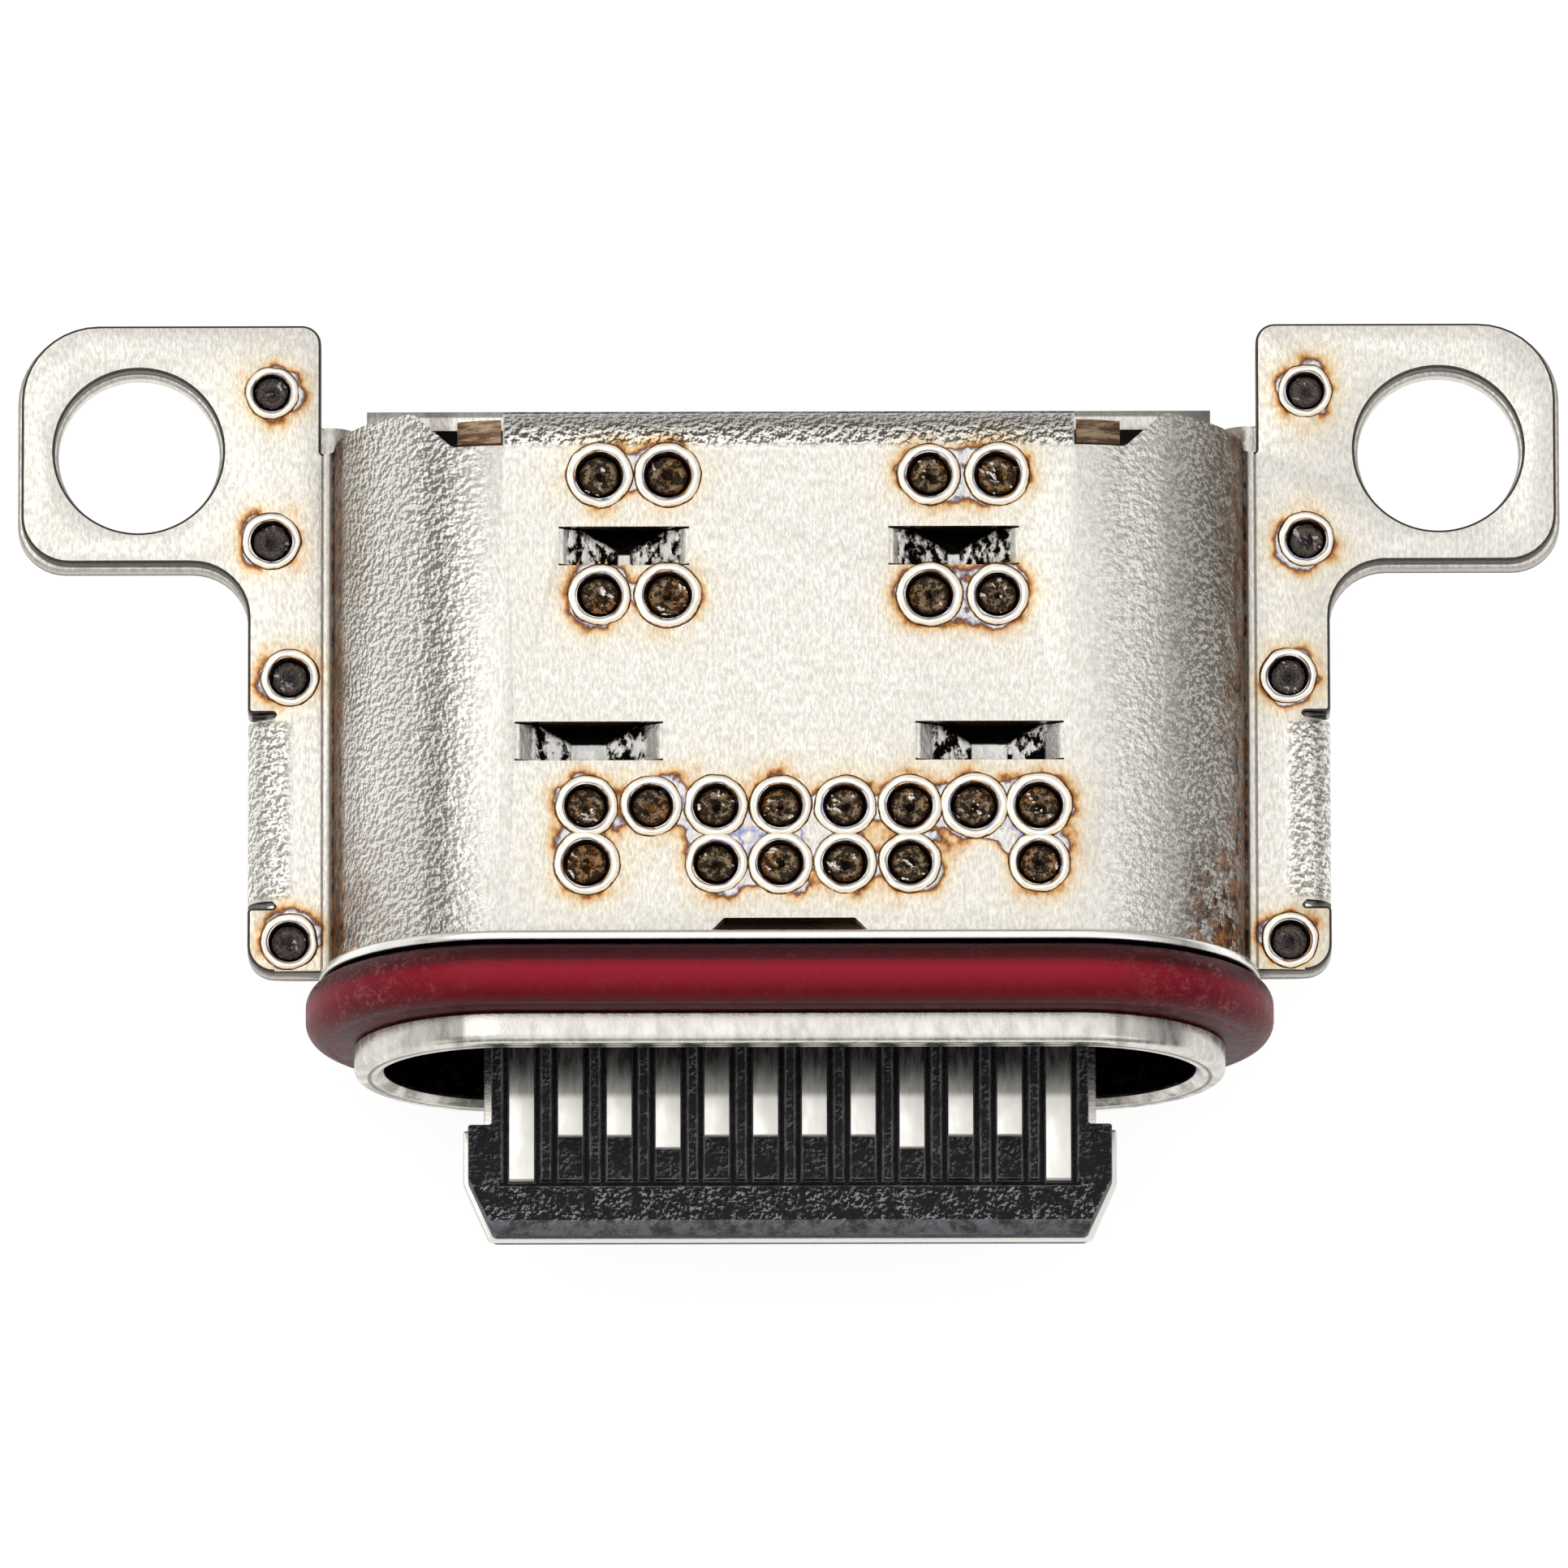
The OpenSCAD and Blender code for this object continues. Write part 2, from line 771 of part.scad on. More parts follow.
module lower_bracket() {
    color(steel)
        difference() {
            union() {
                difference() {
                    intersection() {
                        along_y(bracket_y, far)
                            sheet_section(-1);
                        union() {
                            // The trough, up to its rear edge
                            translate([-arch_half, bracket_y, -far])
                                cube([2 * arch_half, cover_len - rear_relief, far]);
                            translate([0, 0, seam_z - sheet_t - fold_r])
                                linear_extrude(sheet_t + fold_r + eps)
                                    flange_outline(lower_ear_extra, lower_end);
                        }
                    }
                    // Room for the legs of the upper bracket
                    both_sides()
                        translate([flange_half - leg_bend - sheet_gap, leg_y - leg_relief, -far])
                            cube([far, leg_len + 2 * leg_relief, 2 * far]);
                    // Behind the trough only the flange goes on
                    translate([-wall_w / 2 - sheet_gap, relief_y, -far])
                        cube([wall_w + 2 * sheet_gap, far, 2 * far]);
                    foot_windows();
                }
                // The floor behind the windows and the wall that rises from it
                along_x(0, flap_w)
                    wall_section();
                along_y(wall_y, wall_y + sheet_t)
                    intersection() {
                        stadium(bracket_r);
                        translate([-wall_w / 2, -bracket_r + wall_fold_r])
                            square([wall_w, bracket_r - wall_fold_r + wall_top_z]);
                    }
            }
            screw_holes(screw_hole_d);
        }
}

// ---- Contacts ----

// One contact strip in side view, drawn with its own side of the tongue up: along the tongue from
// tip, down at drop_y, and back along the board. side is 1 for the upper row and -1 for the lower
module contact_side(tip, drop_y, side) {
    r = contact_bend_r;
    level = side > 0 ? lane_z : -half_t;
    translate([tip, level])
        square([drop_y - r - tip, contact_t]);
    translate([drop_y - r, level - r])
        quarter_bend(r, contact_t);
    translate([drop_y, -solder_drop + contact_t + r])
        square([contact_t, level - 2 * r + solder_drop - contact_t]);
    translate([drop_y + contact_t + r, -solder_drop + contact_t + r])
        rotate(180)
            quarter_bend(r, contact_t);
    translate([drop_y + contact_t + r, -solder_drop])
        square([foot_len, contact_t]);
}

// Where contact n of a row starts: ground at both ends, power at the fourth and the ninth
function contact_tip(n) =
    tip_y + ((n == 1 || n == contact_count) ? ground_tip : (n == 4 || n == 9) ? power_tip : signal_tip);

function contact_x(n) = (n - (contact_count + 1) / 2) * contact_pitch;

module contact(n, side, w = contact_w) {
    color(contact_metal)
        along_x(side * contact_x(n), w)
            contact_side(contact_tip(n), side > 0 ? rear_drop_y : front_drop_y, side);
}

// Everything that both rows take out of the plastic round them
module contact_slots() {
    for (side = [-1, 1], n = [1:contact_count])
        contact(n, side, contact_slot_w);
}

// ---- Tongue ----

// Head, taper and neck seen from above, from front to the step at the latch notches and back to end
module tongue_outline(head, neck, run, front, end) {
    notch = tip_y + head_len;
    polygon([
        [-head / 2 + run, front], [head / 2 - run, front],
        [head / 2, tip_y + taper_len], [head / 2, notch],
        [neck / 2, notch], [neck / 2, end],
        [-neck / 2, end], [-neck / 2, notch],
        [-head / 2, notch], [-head / 2, tip_y + taper_len]
    ]);
}

module mid_plate() {
    color(steel)
        translate([0, 0, -plate_t / 2])
            linear_extrude(plate_t)
                tongue_outline(plate_head_w, plate_neck_w, taper_run, tip_y - plate_lead, wafer_end);
}

// The upper half of the tongue, with a seat for each contact and a narrow groove on both sides of it
module wafer() {
    groove_y = tip_y + cross_groove_y;
    difference() {
        translate([0, 0, plate_t / 2])
            linear_extrude(half_t - plate_t / 2)
                tongue_outline(head_w, neck_w, taper_run, tip_y, wafer_end);
        // Chamfer along the front edge
        along_x(0, far)
            polygon([
                [tip_y - eps, half_t - nose_drop],
                [tip_y, half_t - nose_drop],
                [tip_y + nose_chamfer, half_t],
                [tip_y + nose_chamfer, far],
                [tip_y - eps, far]
            ]);
        for (n = [1:contact_count]) {
            translate([contact_x(n) - contact_slot_w / 2, contact_tip(n), lane_z])
                cube([contact_slot_w, far, far]);
            for (edge = [-1, 1])
                translate([contact_x(n) + edge * (contact_w + groove_w) / 2, groove_y, half_t - groove_d])
                    translate([-groove_w / 2, 0, 0])
                        cube([groove_w, root_y - groove_y, far]);
        }
        translate([-neck_w / 2 + groove_w, groove_y, half_t - groove_d])
            cube([neck_w - 2 * groove_w, groove_w, far]);
    }
}

module upper_wafer() {
    color(black_plastic)
        wafer();
}

module lower_wafer() {
    color(black_plastic)
        rotate([0, 180, 0])
            wafer();
}

// A shielding plate on the tongue's root: a flat sheet whose front edge is folded over the step
module emc_plate() {
    top = root_t / 2;
    color(steel)
        along_x(0, emc_w) {
            translate([root_y, top])
                square([back_wall_y - root_y + emc_hold, emc_t]);
            translate([root_y - emc_t, half_t + emc_gap])
                square([emc_t + eps, top - half_t - emc_gap + emc_t]);
        }
}

module upper_emc_plate() {
    emc_plate();
}

module lower_emc_plate() {
    rotate([0, 180, 0])
        emc_plate();
}

// The block that closes the shell and holds the tongue's layers
module housing() {
    color(black_plastic)
        difference() {
            union() {
                along_y(back_wall_y, housing_end)
                    stadium(mouth_r - housing_gap);
                translate([-root_w / 2, root_y, -root_t / 2])
                    cube([root_w, back_wall_y - root_y + eps, root_t]);
            }
            translate([-neck_w / 2, -far, -half_t])
                cube([neck_w, far + wafer_end, tongue_t]);
            translate([-plate_neck_w / 2, -far, -plate_t / 2])
                cube([plate_neck_w, far + wafer_end, plate_t]);
            contact_slots();
            upper_emc_plate();
            lower_emc_plate();
        }
}

shell();
sealing_ring();
upper_bracket();
lower_bracket();
housing();
upper_wafer();
lower_wafer();
mid_plate();
upper_emc_plate();
lower_emc_plate();
for (n = [1:contact_count]) {
    contact(n, 1);
    contact(n, -1);
}
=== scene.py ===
import contextlib
import math
import random

import bmesh
import bpy
from mathutils import Matrix, Vector


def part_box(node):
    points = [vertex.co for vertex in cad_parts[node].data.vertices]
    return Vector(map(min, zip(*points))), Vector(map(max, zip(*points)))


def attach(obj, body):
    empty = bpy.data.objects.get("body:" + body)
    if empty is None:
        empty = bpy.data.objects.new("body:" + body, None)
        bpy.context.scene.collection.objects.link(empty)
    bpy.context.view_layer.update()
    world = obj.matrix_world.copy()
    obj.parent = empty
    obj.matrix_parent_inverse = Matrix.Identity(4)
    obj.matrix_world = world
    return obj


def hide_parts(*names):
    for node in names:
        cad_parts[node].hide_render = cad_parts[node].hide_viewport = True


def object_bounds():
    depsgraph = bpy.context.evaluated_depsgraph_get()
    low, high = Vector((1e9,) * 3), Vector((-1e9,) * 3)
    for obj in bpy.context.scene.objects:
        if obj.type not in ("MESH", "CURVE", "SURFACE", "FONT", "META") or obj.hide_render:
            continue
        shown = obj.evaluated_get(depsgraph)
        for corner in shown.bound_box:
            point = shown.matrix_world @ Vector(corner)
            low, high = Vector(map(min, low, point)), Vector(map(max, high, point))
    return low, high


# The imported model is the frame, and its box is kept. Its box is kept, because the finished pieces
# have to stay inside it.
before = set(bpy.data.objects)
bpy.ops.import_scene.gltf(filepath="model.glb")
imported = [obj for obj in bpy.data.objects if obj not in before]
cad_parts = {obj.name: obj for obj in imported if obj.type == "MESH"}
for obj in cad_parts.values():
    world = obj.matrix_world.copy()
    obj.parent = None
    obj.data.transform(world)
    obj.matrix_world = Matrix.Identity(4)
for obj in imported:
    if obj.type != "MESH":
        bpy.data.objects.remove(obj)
cad_low, cad_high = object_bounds()
scene = bpy.context.scene

# ---------------------------------------------------------------------------
# Latch plate: one thin sheet of bright stamped steel in the middle of the tongue. Its edge shows
# along the tapered tip and in the two notches where the plug's springs catch.

# Pieces are drawn in millimetres and put down in metres, and every length below is in millimetres
MM = 0.001


def node_box(name):
    low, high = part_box(name)
    return low / MM, high / MM


plate_low, plate_high = node_box("mid_plate")
wafer_low, wafer_high = node_box("upper_wafer")
tip_y = wafer_low.y
head_len = 1.14
taper_len = 0.57
taper_run = 0.26
plate_neck_half = 3.14
plate_edge = 0.018


def arc(cx, cz, radius, start, end, steps):
    """Points on an arc from start to end, in degrees."""
    return [
        (cx + radius * math.cos(math.radians(start + (end - start) * i / steps)),
         cz + radius * math.sin(math.radians(start + (end - start) * i / steps)))
        for i in range(steps + 1)
    ]


def rounded(corners, steps=10):
    """A closed outline from corners given as (x, y, radius), each rounded by an arc."""
    points = []
    for i, (x, y, radius) in enumerate(corners):
        here = Vector((x, y))
        before = (Vector(corners[i - 1][:2]) - here).normalized()
        after = (Vector(corners[(i + 1) % len(corners)][:2]) - here).normalized()
        if radius <= 0:
            points.append((x, y))
            continue
        half = math.acos(max(-1, min(1, before.dot(after)))) / 2
        reach = radius / math.tan(half)
        middle = here + (before + after).normalized() * radius / math.sin(half)
        start = here + before * reach - middle
        turn = math.pi - 2 * half
        if before.cross(after) > 0:
            turn = -turn
        for k in range(steps + 1):
            spoke = start.copy()
            spoke.rotate(Matrix.Rotation(turn * k / steps, 2))
            points.append(tuple(middle + spoke))
    return points


def mirrored(half):
    """A closed outline from its right half, which runs from front to back."""
    return half + [(-corner[0], *corner[1:]) for corner in reversed(half)]


def new_piece(name, verts, faces):
    mesh = bpy.data.meshes.new(name)
    mesh.from_pydata([tuple(v) for v in verts], [], faces)
    mesh.update()
    piece = bpy.data.objects.new(name, mesh)
    scene.collection.objects.link(piece)
    return piece


@contextlib.contextmanager
def opened(piece):
    """A piece's mesh, open for editing and written back afterwards."""
    work = bmesh.new()
    work.from_mesh(piece.data)
    yield work
    work.to_mesh(piece.data)
    work.free()


def face_outwards(piece):
    with opened(piece) as work:
        bmesh.ops.recalc_face_normals(work, faces=work.faces)


def prism(name, outline, low, high, place):
    """A closed solid from a flat outline, between two levels. place turns (u, v, level) into a point."""
    count = len(outline)
    verts = [place(u, v, level) for level in (low, high) for u, v in outline]
    faces = [tuple(range(count))[::-1], tuple(range(count, 2 * count))]
    faces += [(i, (i + 1) % count, count + (i + 1) % count, count + i) for i in range(count)]
    piece = new_piece(name, verts, faces)
    face_outwards(piece)
    return piece


def lying(x, y, level):
    return (x, y, level)


def across(y, z, level):
    return (level, y, z)


def along(x, z, level):
    return (x, level, z)


def apply_all(piece):
    """Turns a piece and its modifiers into a plain mesh."""
    graph = bpy.context.evaluated_depsgraph_get()
    mesh = bpy.data.meshes.new_from_object(piece.evaluated_get(graph))
    piece.modifiers.clear()
    piece.data = mesh


def combine(piece, others, operation):
    """Cuts the others from a piece, joins them to it or keeps what they share."""
    for other in others:
        step = piece.modifiers.new("step", "BOOLEAN")
        step.operation = operation
        step.solver = "EXACT"
        step.object = other
        apply_all(piece)
        bpy.data.objects.remove(other)


def round_edges(piece, width, angle=35, rims=None):
    """Breaks a piece's sharp edges. rims is a wider break and a test that picks the edges for it."""
    with opened(piece) as work:
        bmesh.ops.remove_doubles(work, verts=work.verts, dist=width / 50)
        bmesh.ops.dissolve_limit(
            work, angle_limit=math.radians(0.5), verts=work.verts, edges=work.edges, delimit={"NORMAL"}
        )
        if rims:
            rim_width, picked = rims
            weight = work.edges.layers.float.new("bevel_weight_edge")
            for edge in work.edges:
                sharp = edge.is_manifold and edge.calc_face_angle() > math.radians(60)
                edge[weight] = float(sharp and all(picked(vert.co) for vert in edge.verts))
    if rims:
        step = piece.modifiers.new("rims", "BEVEL")
        step.width = rim_width
        step.segments = 2
        step.limit_method = "WEIGHT"
        step.use_clamp_overlap = False
        apply_all(piece)
    step = piece.modifiers.new("edges", "BEVEL")
    step.width = width
    step.segments = 2
    step.limit_method = "ANGLE"
    step.angle_limit = math.radians(angle)
    apply_all(piece)


def smooth_below(piece, angle=38):
    """Smooth shading, with an edge wherever the surface turns by more than the angle."""
    with opened(piece) as work:
        for face in work.faces:
            face.smooth = True
        for edge in work.edges:
            turned = edge.calc_face_angle(math.pi) if edge.is_manifold else math.pi
            edge.smooth = turned < math.radians(angle)


def mark_faces(piece, name, chosen):
    """Gives each face the value chosen(centre, normal) under a name, for the material to read."""
    layer = piece.data.attributes.new(name, "FLOAT", "FACE")
    faces = piece.data.polygons
    layer.data.foreach_set("value", [float(chosen(face.center, face.normal)) for face in faces])


def put_down(piece, material, slot, *replaced):
    """Gives a finished piece its material, its real size and its place on the frame."""
    piece.data.transform(Matrix.Scale(MM, 4))
    piece.data.materials.clear()
    piece.data.materials.append(material)
    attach(piece, "root")
    if replaced:
        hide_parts(*replaced)


class Value:
    """A node's socket that can be used in an expression; each sum adds its Math node."""

    def __init__(self, tree, socket):
        self.tree = tree
        self.socket = socket

    def node(self, kind, settings=None, inputs=None, output=0):
        """Any other node: its settings are set first, then its sockets are given values or links."""
        made = self.tree.nodes.new(kind)
        for key, setting in (settings or {}).items():
            if key == "stops":
                elements = made.color_ramp.elements
                elements.remove(elements[-1])
                elements[0].position, elements[0].color = setting[0][0], colour_of(setting[0][1])
                for position, colour in setting[1:]:
                    elements.new(position).color = colour_of(colour)
            else:
                setattr(made, key, setting)
        for key, given in (inputs or {}).items():
            if isinstance(given, Value):
                self.tree.links.new(given.socket, made.inputs[key])
            else:
                made.inputs[key].default_value = given
        return Value(self.tree, made.outputs[output])

    def math(self, operation, *others):
        return self.node("ShaderNodeMath", {"operation": operation}, dict(enumerate((self, *others))))

    def __add__(self, other):
        return self.math("ADD", other)

    def __sub__(self, other):
        return self.math("SUBTRACT", other)

    def __mul__(self, other):
        return self.math("MULTIPLY", other)

    def __truediv__(self, other):
        return self.math("DIVIDE", other)

    __radd__ = __add__
    __rmul__ = __mul__

    def __rsub__(self, other):
        return self.node("ShaderNodeMath", {"operation": "SUBTRACT"}, {0: other, 1: self})

    def __neg__(self):
        return self * -1

    def between(self, low, high, a=0.0, b=1.0):
        """Runs smoothly from a to b as this runs from low to high, and stays there beyond."""
        settings = {"interpolation_type": "SMOOTHSTEP"}
        inputs = {"Value": self, "From Min": low, "From Max": high, "To Min": a, "To Max": b}
        return self.node("ShaderNodeMapRange", settings, inputs)

    def within(self, low, full, fade, high):
        """1 from full to fade, running out smoothly to 0 at low and at high."""
        return self.between(low, full) * (1 - self.between(fade, high))

    def at_most(self, most):
        return self.math("MINIMUM", most)

    def absolute(self):
        return self.math("ABSOLUTE")

    def ramp(self, *stops):
        return self.node("ShaderNodeValToRGB", {"stops": stops}, {"Fac": self})

    def blend(self, a, b):
        """Colour a where this is 0 and colour b where it is 1."""
        inputs = {0: self, 6: colour_of(a), 7: colour_of(b)}
        return self.node("ShaderNodeMix", {"data_type": "RGBA"}, inputs, output=2)


def colour_of(given):
    return given if isinstance(given, Value) else (*given, 1.0)


def srgb(red, green, blue):
    """A colour as it looks on a screen, from 0 to 255, in the linear values that a shader takes."""
    def linear(level):
        level /= 255
        return level / 12.92 if level <= 0.04045 else ((level + 0.055) / 1.055) ** 2.4
    return (linear(red), linear(green), linear(blue))


def split_up(tree, vector):
    """The x, y and z of a vector."""
    split = tree.nodes.new("ShaderNodeSeparateXYZ")
    tree.links.new(vector.socket, split.inputs[0])
    return [Value(tree, output) for output in split.outputs]


def new_material(name):
    """An empty material, its shader, and its place in millimetres as a vector and as x, y, z."""
    material = bpy.data.materials.new(name)
    material.use_nodes = True
    tree = material.node_tree
    start = Value(tree, tree.nodes.new("ShaderNodeTexCoord").outputs["Object"])
    settings = {"operation": "SCALE"}
    place = start.node("ShaderNodeVectorMath", settings, {"Vector": start, "Scale": 1 / MM})
    return material, tree.nodes["Principled BSDF"], place, split_up(tree, place)


def noise(place, scale, detail=2.0, rough=0.5, stretch=None):
    """Cloudy noise, scale per millimetre, between 0 and 1."""
    where = place
    if stretch:
        where = place.node("ShaderNodeMapping", {}, {"Vector": place, "Scale": stretch})
    inputs = {"Vector": where, "Scale": scale, "Detail": detail, "Roughness": rough}
    return place.node("ShaderNodeTexNoise", {}, inputs)


def wire(shader, **links):
    """Feeds values into the shader's sockets; an underscore stands for a space."""
    for key, given in links.items():
        socket = shader.inputs[key.replace("_", " ")]
        if isinstance(given, Value):
            given.tree.links.new(given.socket, socket)
        else:
            socket.default_value = given


def bumped(height, strength, distance):
    """A bump from a height between 0 and 1; distance is its depth in millimetres."""
    inputs = {"Height": height, "Strength": strength, "Distance": distance * MM}
    return height.node("ShaderNodeBump", {}, inputs)


def bright_steel():
    material, shader, place, _ = new_material("bright_steel")
    streaks = noise(place, 9, 4, 0.6, stretch=(1, 6, 6))
    colour = streaks.blend(srgb(214, 211, 204), srgb(238, 236, 230))
    rough = streaks.between(0.3, 0.7, 0.20, 0.34)
    wire(shader, Base_Color=colour, Metallic=1.0, Roughness=rough)
    wire(shader, Normal=bumped(streaks, 0.25, 0.004))
    return material


def tongue_half(head_half, neck_half, front, end):
    """The right half of the tongue's outline, from the tip's middle back to its root."""
    notch = tip_y + head_len
    return [
        (head_half - taper_run, front, 0.06), (head_half, tip_y + taper_len, 0.12),
        (head_half, notch, 0.03), (neck_half, notch, 0.03), (neck_half, end, 0.0)
    ]


plate_outline = rounded(
    mirrored(tongue_half(plate_high.x, plate_neck_half, plate_low.y, plate_high.y)), steps=6
)
latch_plate = prism("latch_plate", plate_outline, plate_low.z, plate_high.z, lying)
round_edges(latch_plate, plate_edge)
smooth_below(latch_plate)
steel_bright = bright_steel()
put_down(latch_plate, steel_bright, "plate_steel", "mid_plate")

# ---------------------------------------------------------------------------
# Tongue halves: two mouldings of black glass-filled plastic on both sides of the latch plate. Each
# has a seat for every contact, a narrow groove on both sides of it and a cross groove near the tip.

contact_pitch = 0.5
contact_count = 12
contact_half = 0.13
contact_t = 0.12
groove_w = 0.07
groove_d = 0.09
cross_groove_y = tip_y + 0.49
root_y = 2.74
back_wall_y = 3.60
signal_tip = tip_y + 1.01
power_tip = tip_y + 0.88
ground_tip = tip_y + 0.545
neck_half = 3.06
head_half = 3.30
tongue_half_t = wafer_high.z
lane_z = tongue_half_t - contact_t
tip_slope_run = 0.12
tip_slope_drop = 0.15
plastic_edge = 0.012
# The tongue's cutters and the sheets' flat ends reach this far, past every edge of the part
far = 9


def contact_x(n):
    return (n - (contact_count - 1) / 2) * contact_pitch


def contact_tip(n):
    if n in (0, contact_count - 1):
        return ground_tip
    return power_tip if n in (3, 8) else signal_tip


def relief(place, scale, detail, step):
    """How a rough surface catches light from one side: 0 in the shade and 1 in the light."""
    moved = place.node("ShaderNodeVectorMath", {"operation": "ADD"}, {0: place, 1: step})
    gap = noise(place, scale, detail) - noise(moved, scale, detail)
    return (gap * 5 + 0.5).between(0.0, 1.0)


def attribute(place, name):
    """A value that the mesh carries under a name."""
    return place.node("ShaderNodeAttribute", {"attribute_name": name}, {}, output=2)


def black_plastic():
    material, shader, place, (_, y, z) = new_material("black_plastic")
    cloud = noise(place, 5.5, 5, 0.72)
    fleck = noise(place, 30, 3, 0.7, stretch=(0.6, 1.0, 1.0))
    pale = fleck.between(0.50, 0.70) * cloud.between(0.36, 0.60)
    colour = pale.blend(srgb(21, 21, 23), srgb(50, 50, 53))
    # Painted glints speckle the skin, fewer from the cross groove back
    painted_glint = relief(place, 22, 3, (0.008, -0.012, 0.006)).between(0.70, 0.95) * cloud.between(0.44, 0.60)
    painted_glint = painted_glint * (1 - y.between(cross_groove_y - 0.02, cross_groove_y + 0.08) * 0.65)
    colour = (painted_glint * 0.85).blend(colour, srgb(160, 160, 164))
    # The floors of the grooves and seats are painted black as shade
    painted_groove_shade = z.absolute().within(0.05, 0.06, tongue_half_t - 0.06, tongue_half_t - 0.03)
    colour = (painted_groove_shade * 0.8).blend(colour, srgb(5, 5, 6))
    # The bevelled corners carry a painted highlight, broken up in patches
    painted_edge_highlight = attribute(place, "corner") * cloud.between(0.35, 0.6, 0.2, 0.8)
    colour = painted_edge_highlight.blend(colour, srgb(120, 120, 124))
    rough = cloud.between(0.3, 0.7, 0.38, 0.60)
    wire(shader, Base_Color=colour, Roughness=rough, Specular_IOR_Level=0.16)
    wire(shader, Normal=bumped(fleck + cloud * 0.6, 0.7, 0.02))
    return material


def block(low, high):
    """A plain box between two corners, for cutting."""
    verts = [(x, y, z) for x in (low[0], high[0]) for y in (low[1], high[1]) for z in (low[2], high[2])]
    faces = [(0, 1, 3, 2), (4, 6, 7, 5), (0, 4, 5, 1), (2, 3, 7, 6), (0, 2, 6, 4), (1, 5, 7, 3)]
    piece = new_piece("block", verts, faces)
    face_outwards(piece)
    return piece


def tongue_moulding(name):
    outline = rounded(mirrored(tongue_half(head_half, neck_half, tip_y, wafer_high.y)), steps=6)
    moulding = prism(name, outline, wafer_low.z, wafer_high.z, lying)
    groove_z = tongue_half_t - groove_d
    slope_z = tongue_half_t - tip_slope_drop
    slope_y = tip_y + tip_slope_run
    slope = [(-far, slope_z), (tip_y, slope_z), (slope_y, tongue_half_t), (slope_y, far), (-far, far)]
    cutters = [prism("slope", slope, -far, far, across)]
    for n in range(contact_count):
        x = contact_x(n)
        cutters.append(block((x - contact_half, contact_tip(n), lane_z), (x + contact_half, far, far)))
    end = neck_half - groove_w
    cutters.append(block((-end, cross_groove_y, groove_z), (end, cross_groove_y + groove_w, far)))
    for n in range(contact_count):
        for side in (-1, 1):
            beside = contact_x(n) + side * contact_half
            left, right = sorted((beside, beside + side * groove_w))
            cutters.append(block((left, cross_groove_y, groove_z), (right, root_y, far)))
    combine(moulding, cutters, "DIFFERENCE")
    round_edges(moulding, plastic_edge)
    smooth_below(moulding)
    mark_faces(moulding, "corner", lambda centre, normal: max(map(abs, normal)) < 0.97)
    return moulding


plastic = black_plastic()
upper_half = tongue_moulding("tongue_upper_half")
lower_half = upper_half.copy()
lower_half.data = upper_half.data.copy()
lower_half.name = "tongue_lower_half"
lower_half.data.transform(Matrix.Rotation(math.pi, 4, "Y"))
scene.collection.objects.link(lower_half)
put_down(upper_half, plastic, "black_plastic", "upper_wafer")
put_down(lower_half, plastic, "black_plastic", "lower_wafer")

# ---------------------------------------------------------------------------
# Contacts: twenty-four strips of pale plated copper alloy, twelve a side. Each runs back along the
# tongue, turns down behind the housing and ends in a foot on the board.

foot_len = 0.38
strip_bend = 0.08
strip_edge = 0.012


def contact_metal():
    material, shader, place, (_, y, _) = new_material("contact_metal")
    smear = noise(place, 7, 3, 0.6, stretch=(1, 0.4, 1))
    # Inside the mouth the plating is painted in streaky shade, darker than where it reaches out
    painted_inner_shade = y.between(-0.32, -0.22) * 0.66 + y.between(-0.24, 0.18) * 0.34
    streak = noise(place, 16, 3, 0.7, stretch=(1, 0.18, 1))
    painted_inner_shade = painted_inner_shade * streak.between(0.3, 0.7, 0.8, 1.0)
    outer_plating = smear.blend(srgb(252, 250, 245), srgb(238, 234, 225))
    colour = painted_inner_shade.blend(outer_plating, srgb(38, 37, 37))
    rough = smear.between(0.3, 0.7, 0.30, 0.44)
    wire(shader, Base_Color=colour, Metallic=0.75, Roughness=rough)
    wire(shader, Normal=bumped(smear, 0.3, 0.004))
    return material


def strip_outline(tip, drop_y, level, board_z):
    """A contact strip in side view: along the tongue, down, and back along the board."""
    top = level + contact_t
    bend = strip_bend
    upper = arc(drop_y - bend, level - bend, bend + contact_t, 90, 0, 8)
    lower = arc(drop_y + contact_t + bend, board_z + contact_t + bend, bend, 180, 270, 8)
    under = arc(drop_y + contact_t + bend, board_z + contact_t + bend, bend + contact_t, 270, 180, 8)
    inner = arc(drop_y - bend, level - bend, bend, 0, 90, 8)
    end = drop_y + contact_t + bend + foot_len
    nose = [(tip + 0.02, level), (tip, level + 0.02), (tip, top - 0.02), (tip + 0.02, top)]
    return nose + upper + lower + [(end, board_z + contact_t), (end, board_z)] + under + inner


def new_tree(name, kinds):
    """An empty Geometry Nodes tree with named inputs: the inputs as values, and their identifiers."""
    tree = bpy.data.node_groups.new(name, "GeometryNodeTree")
    identifiers = {}
    for label, kind in {"Geometry": "Geometry", **kinds}.items():
        socket = tree.interface.new_socket(label, in_out="INPUT", socket_type="NodeSocket" + kind)
        identifiers[label] = socket.identifier
    tree.interface.new_socket("Geometry", in_out="OUTPUT", socket_type="NodeSocketGeometry")
    enter = tree.nodes.new("NodeGroupInput")
    return {label: Value(tree, enter.outputs[label]) for label in identifiers}, identifiers


def send_out(made, finish):
    """Ends a tree: its geometry gets its finish and goes to the output."""
    finished = made.node("GeometryNodeSetMaterial", {}, {"Geometry": made, "Material": finish})
    leave = made.tree.nodes.new("NodeGroupOutput")
    made.tree.links.new(finished.socket, leave.inputs[0])


def grow(piece, tree, identifiers, given):
    """Runs a tree on a piece with its inputs set, and keeps the result as a plain mesh."""
    step = piece.modifiers.new("grow", "NODES")
    step.node_group = tree
    for label, value in given.items():
        step[identifiers[label]] = value
    bpy.context.view_layer.update()
    apply_all(piece)


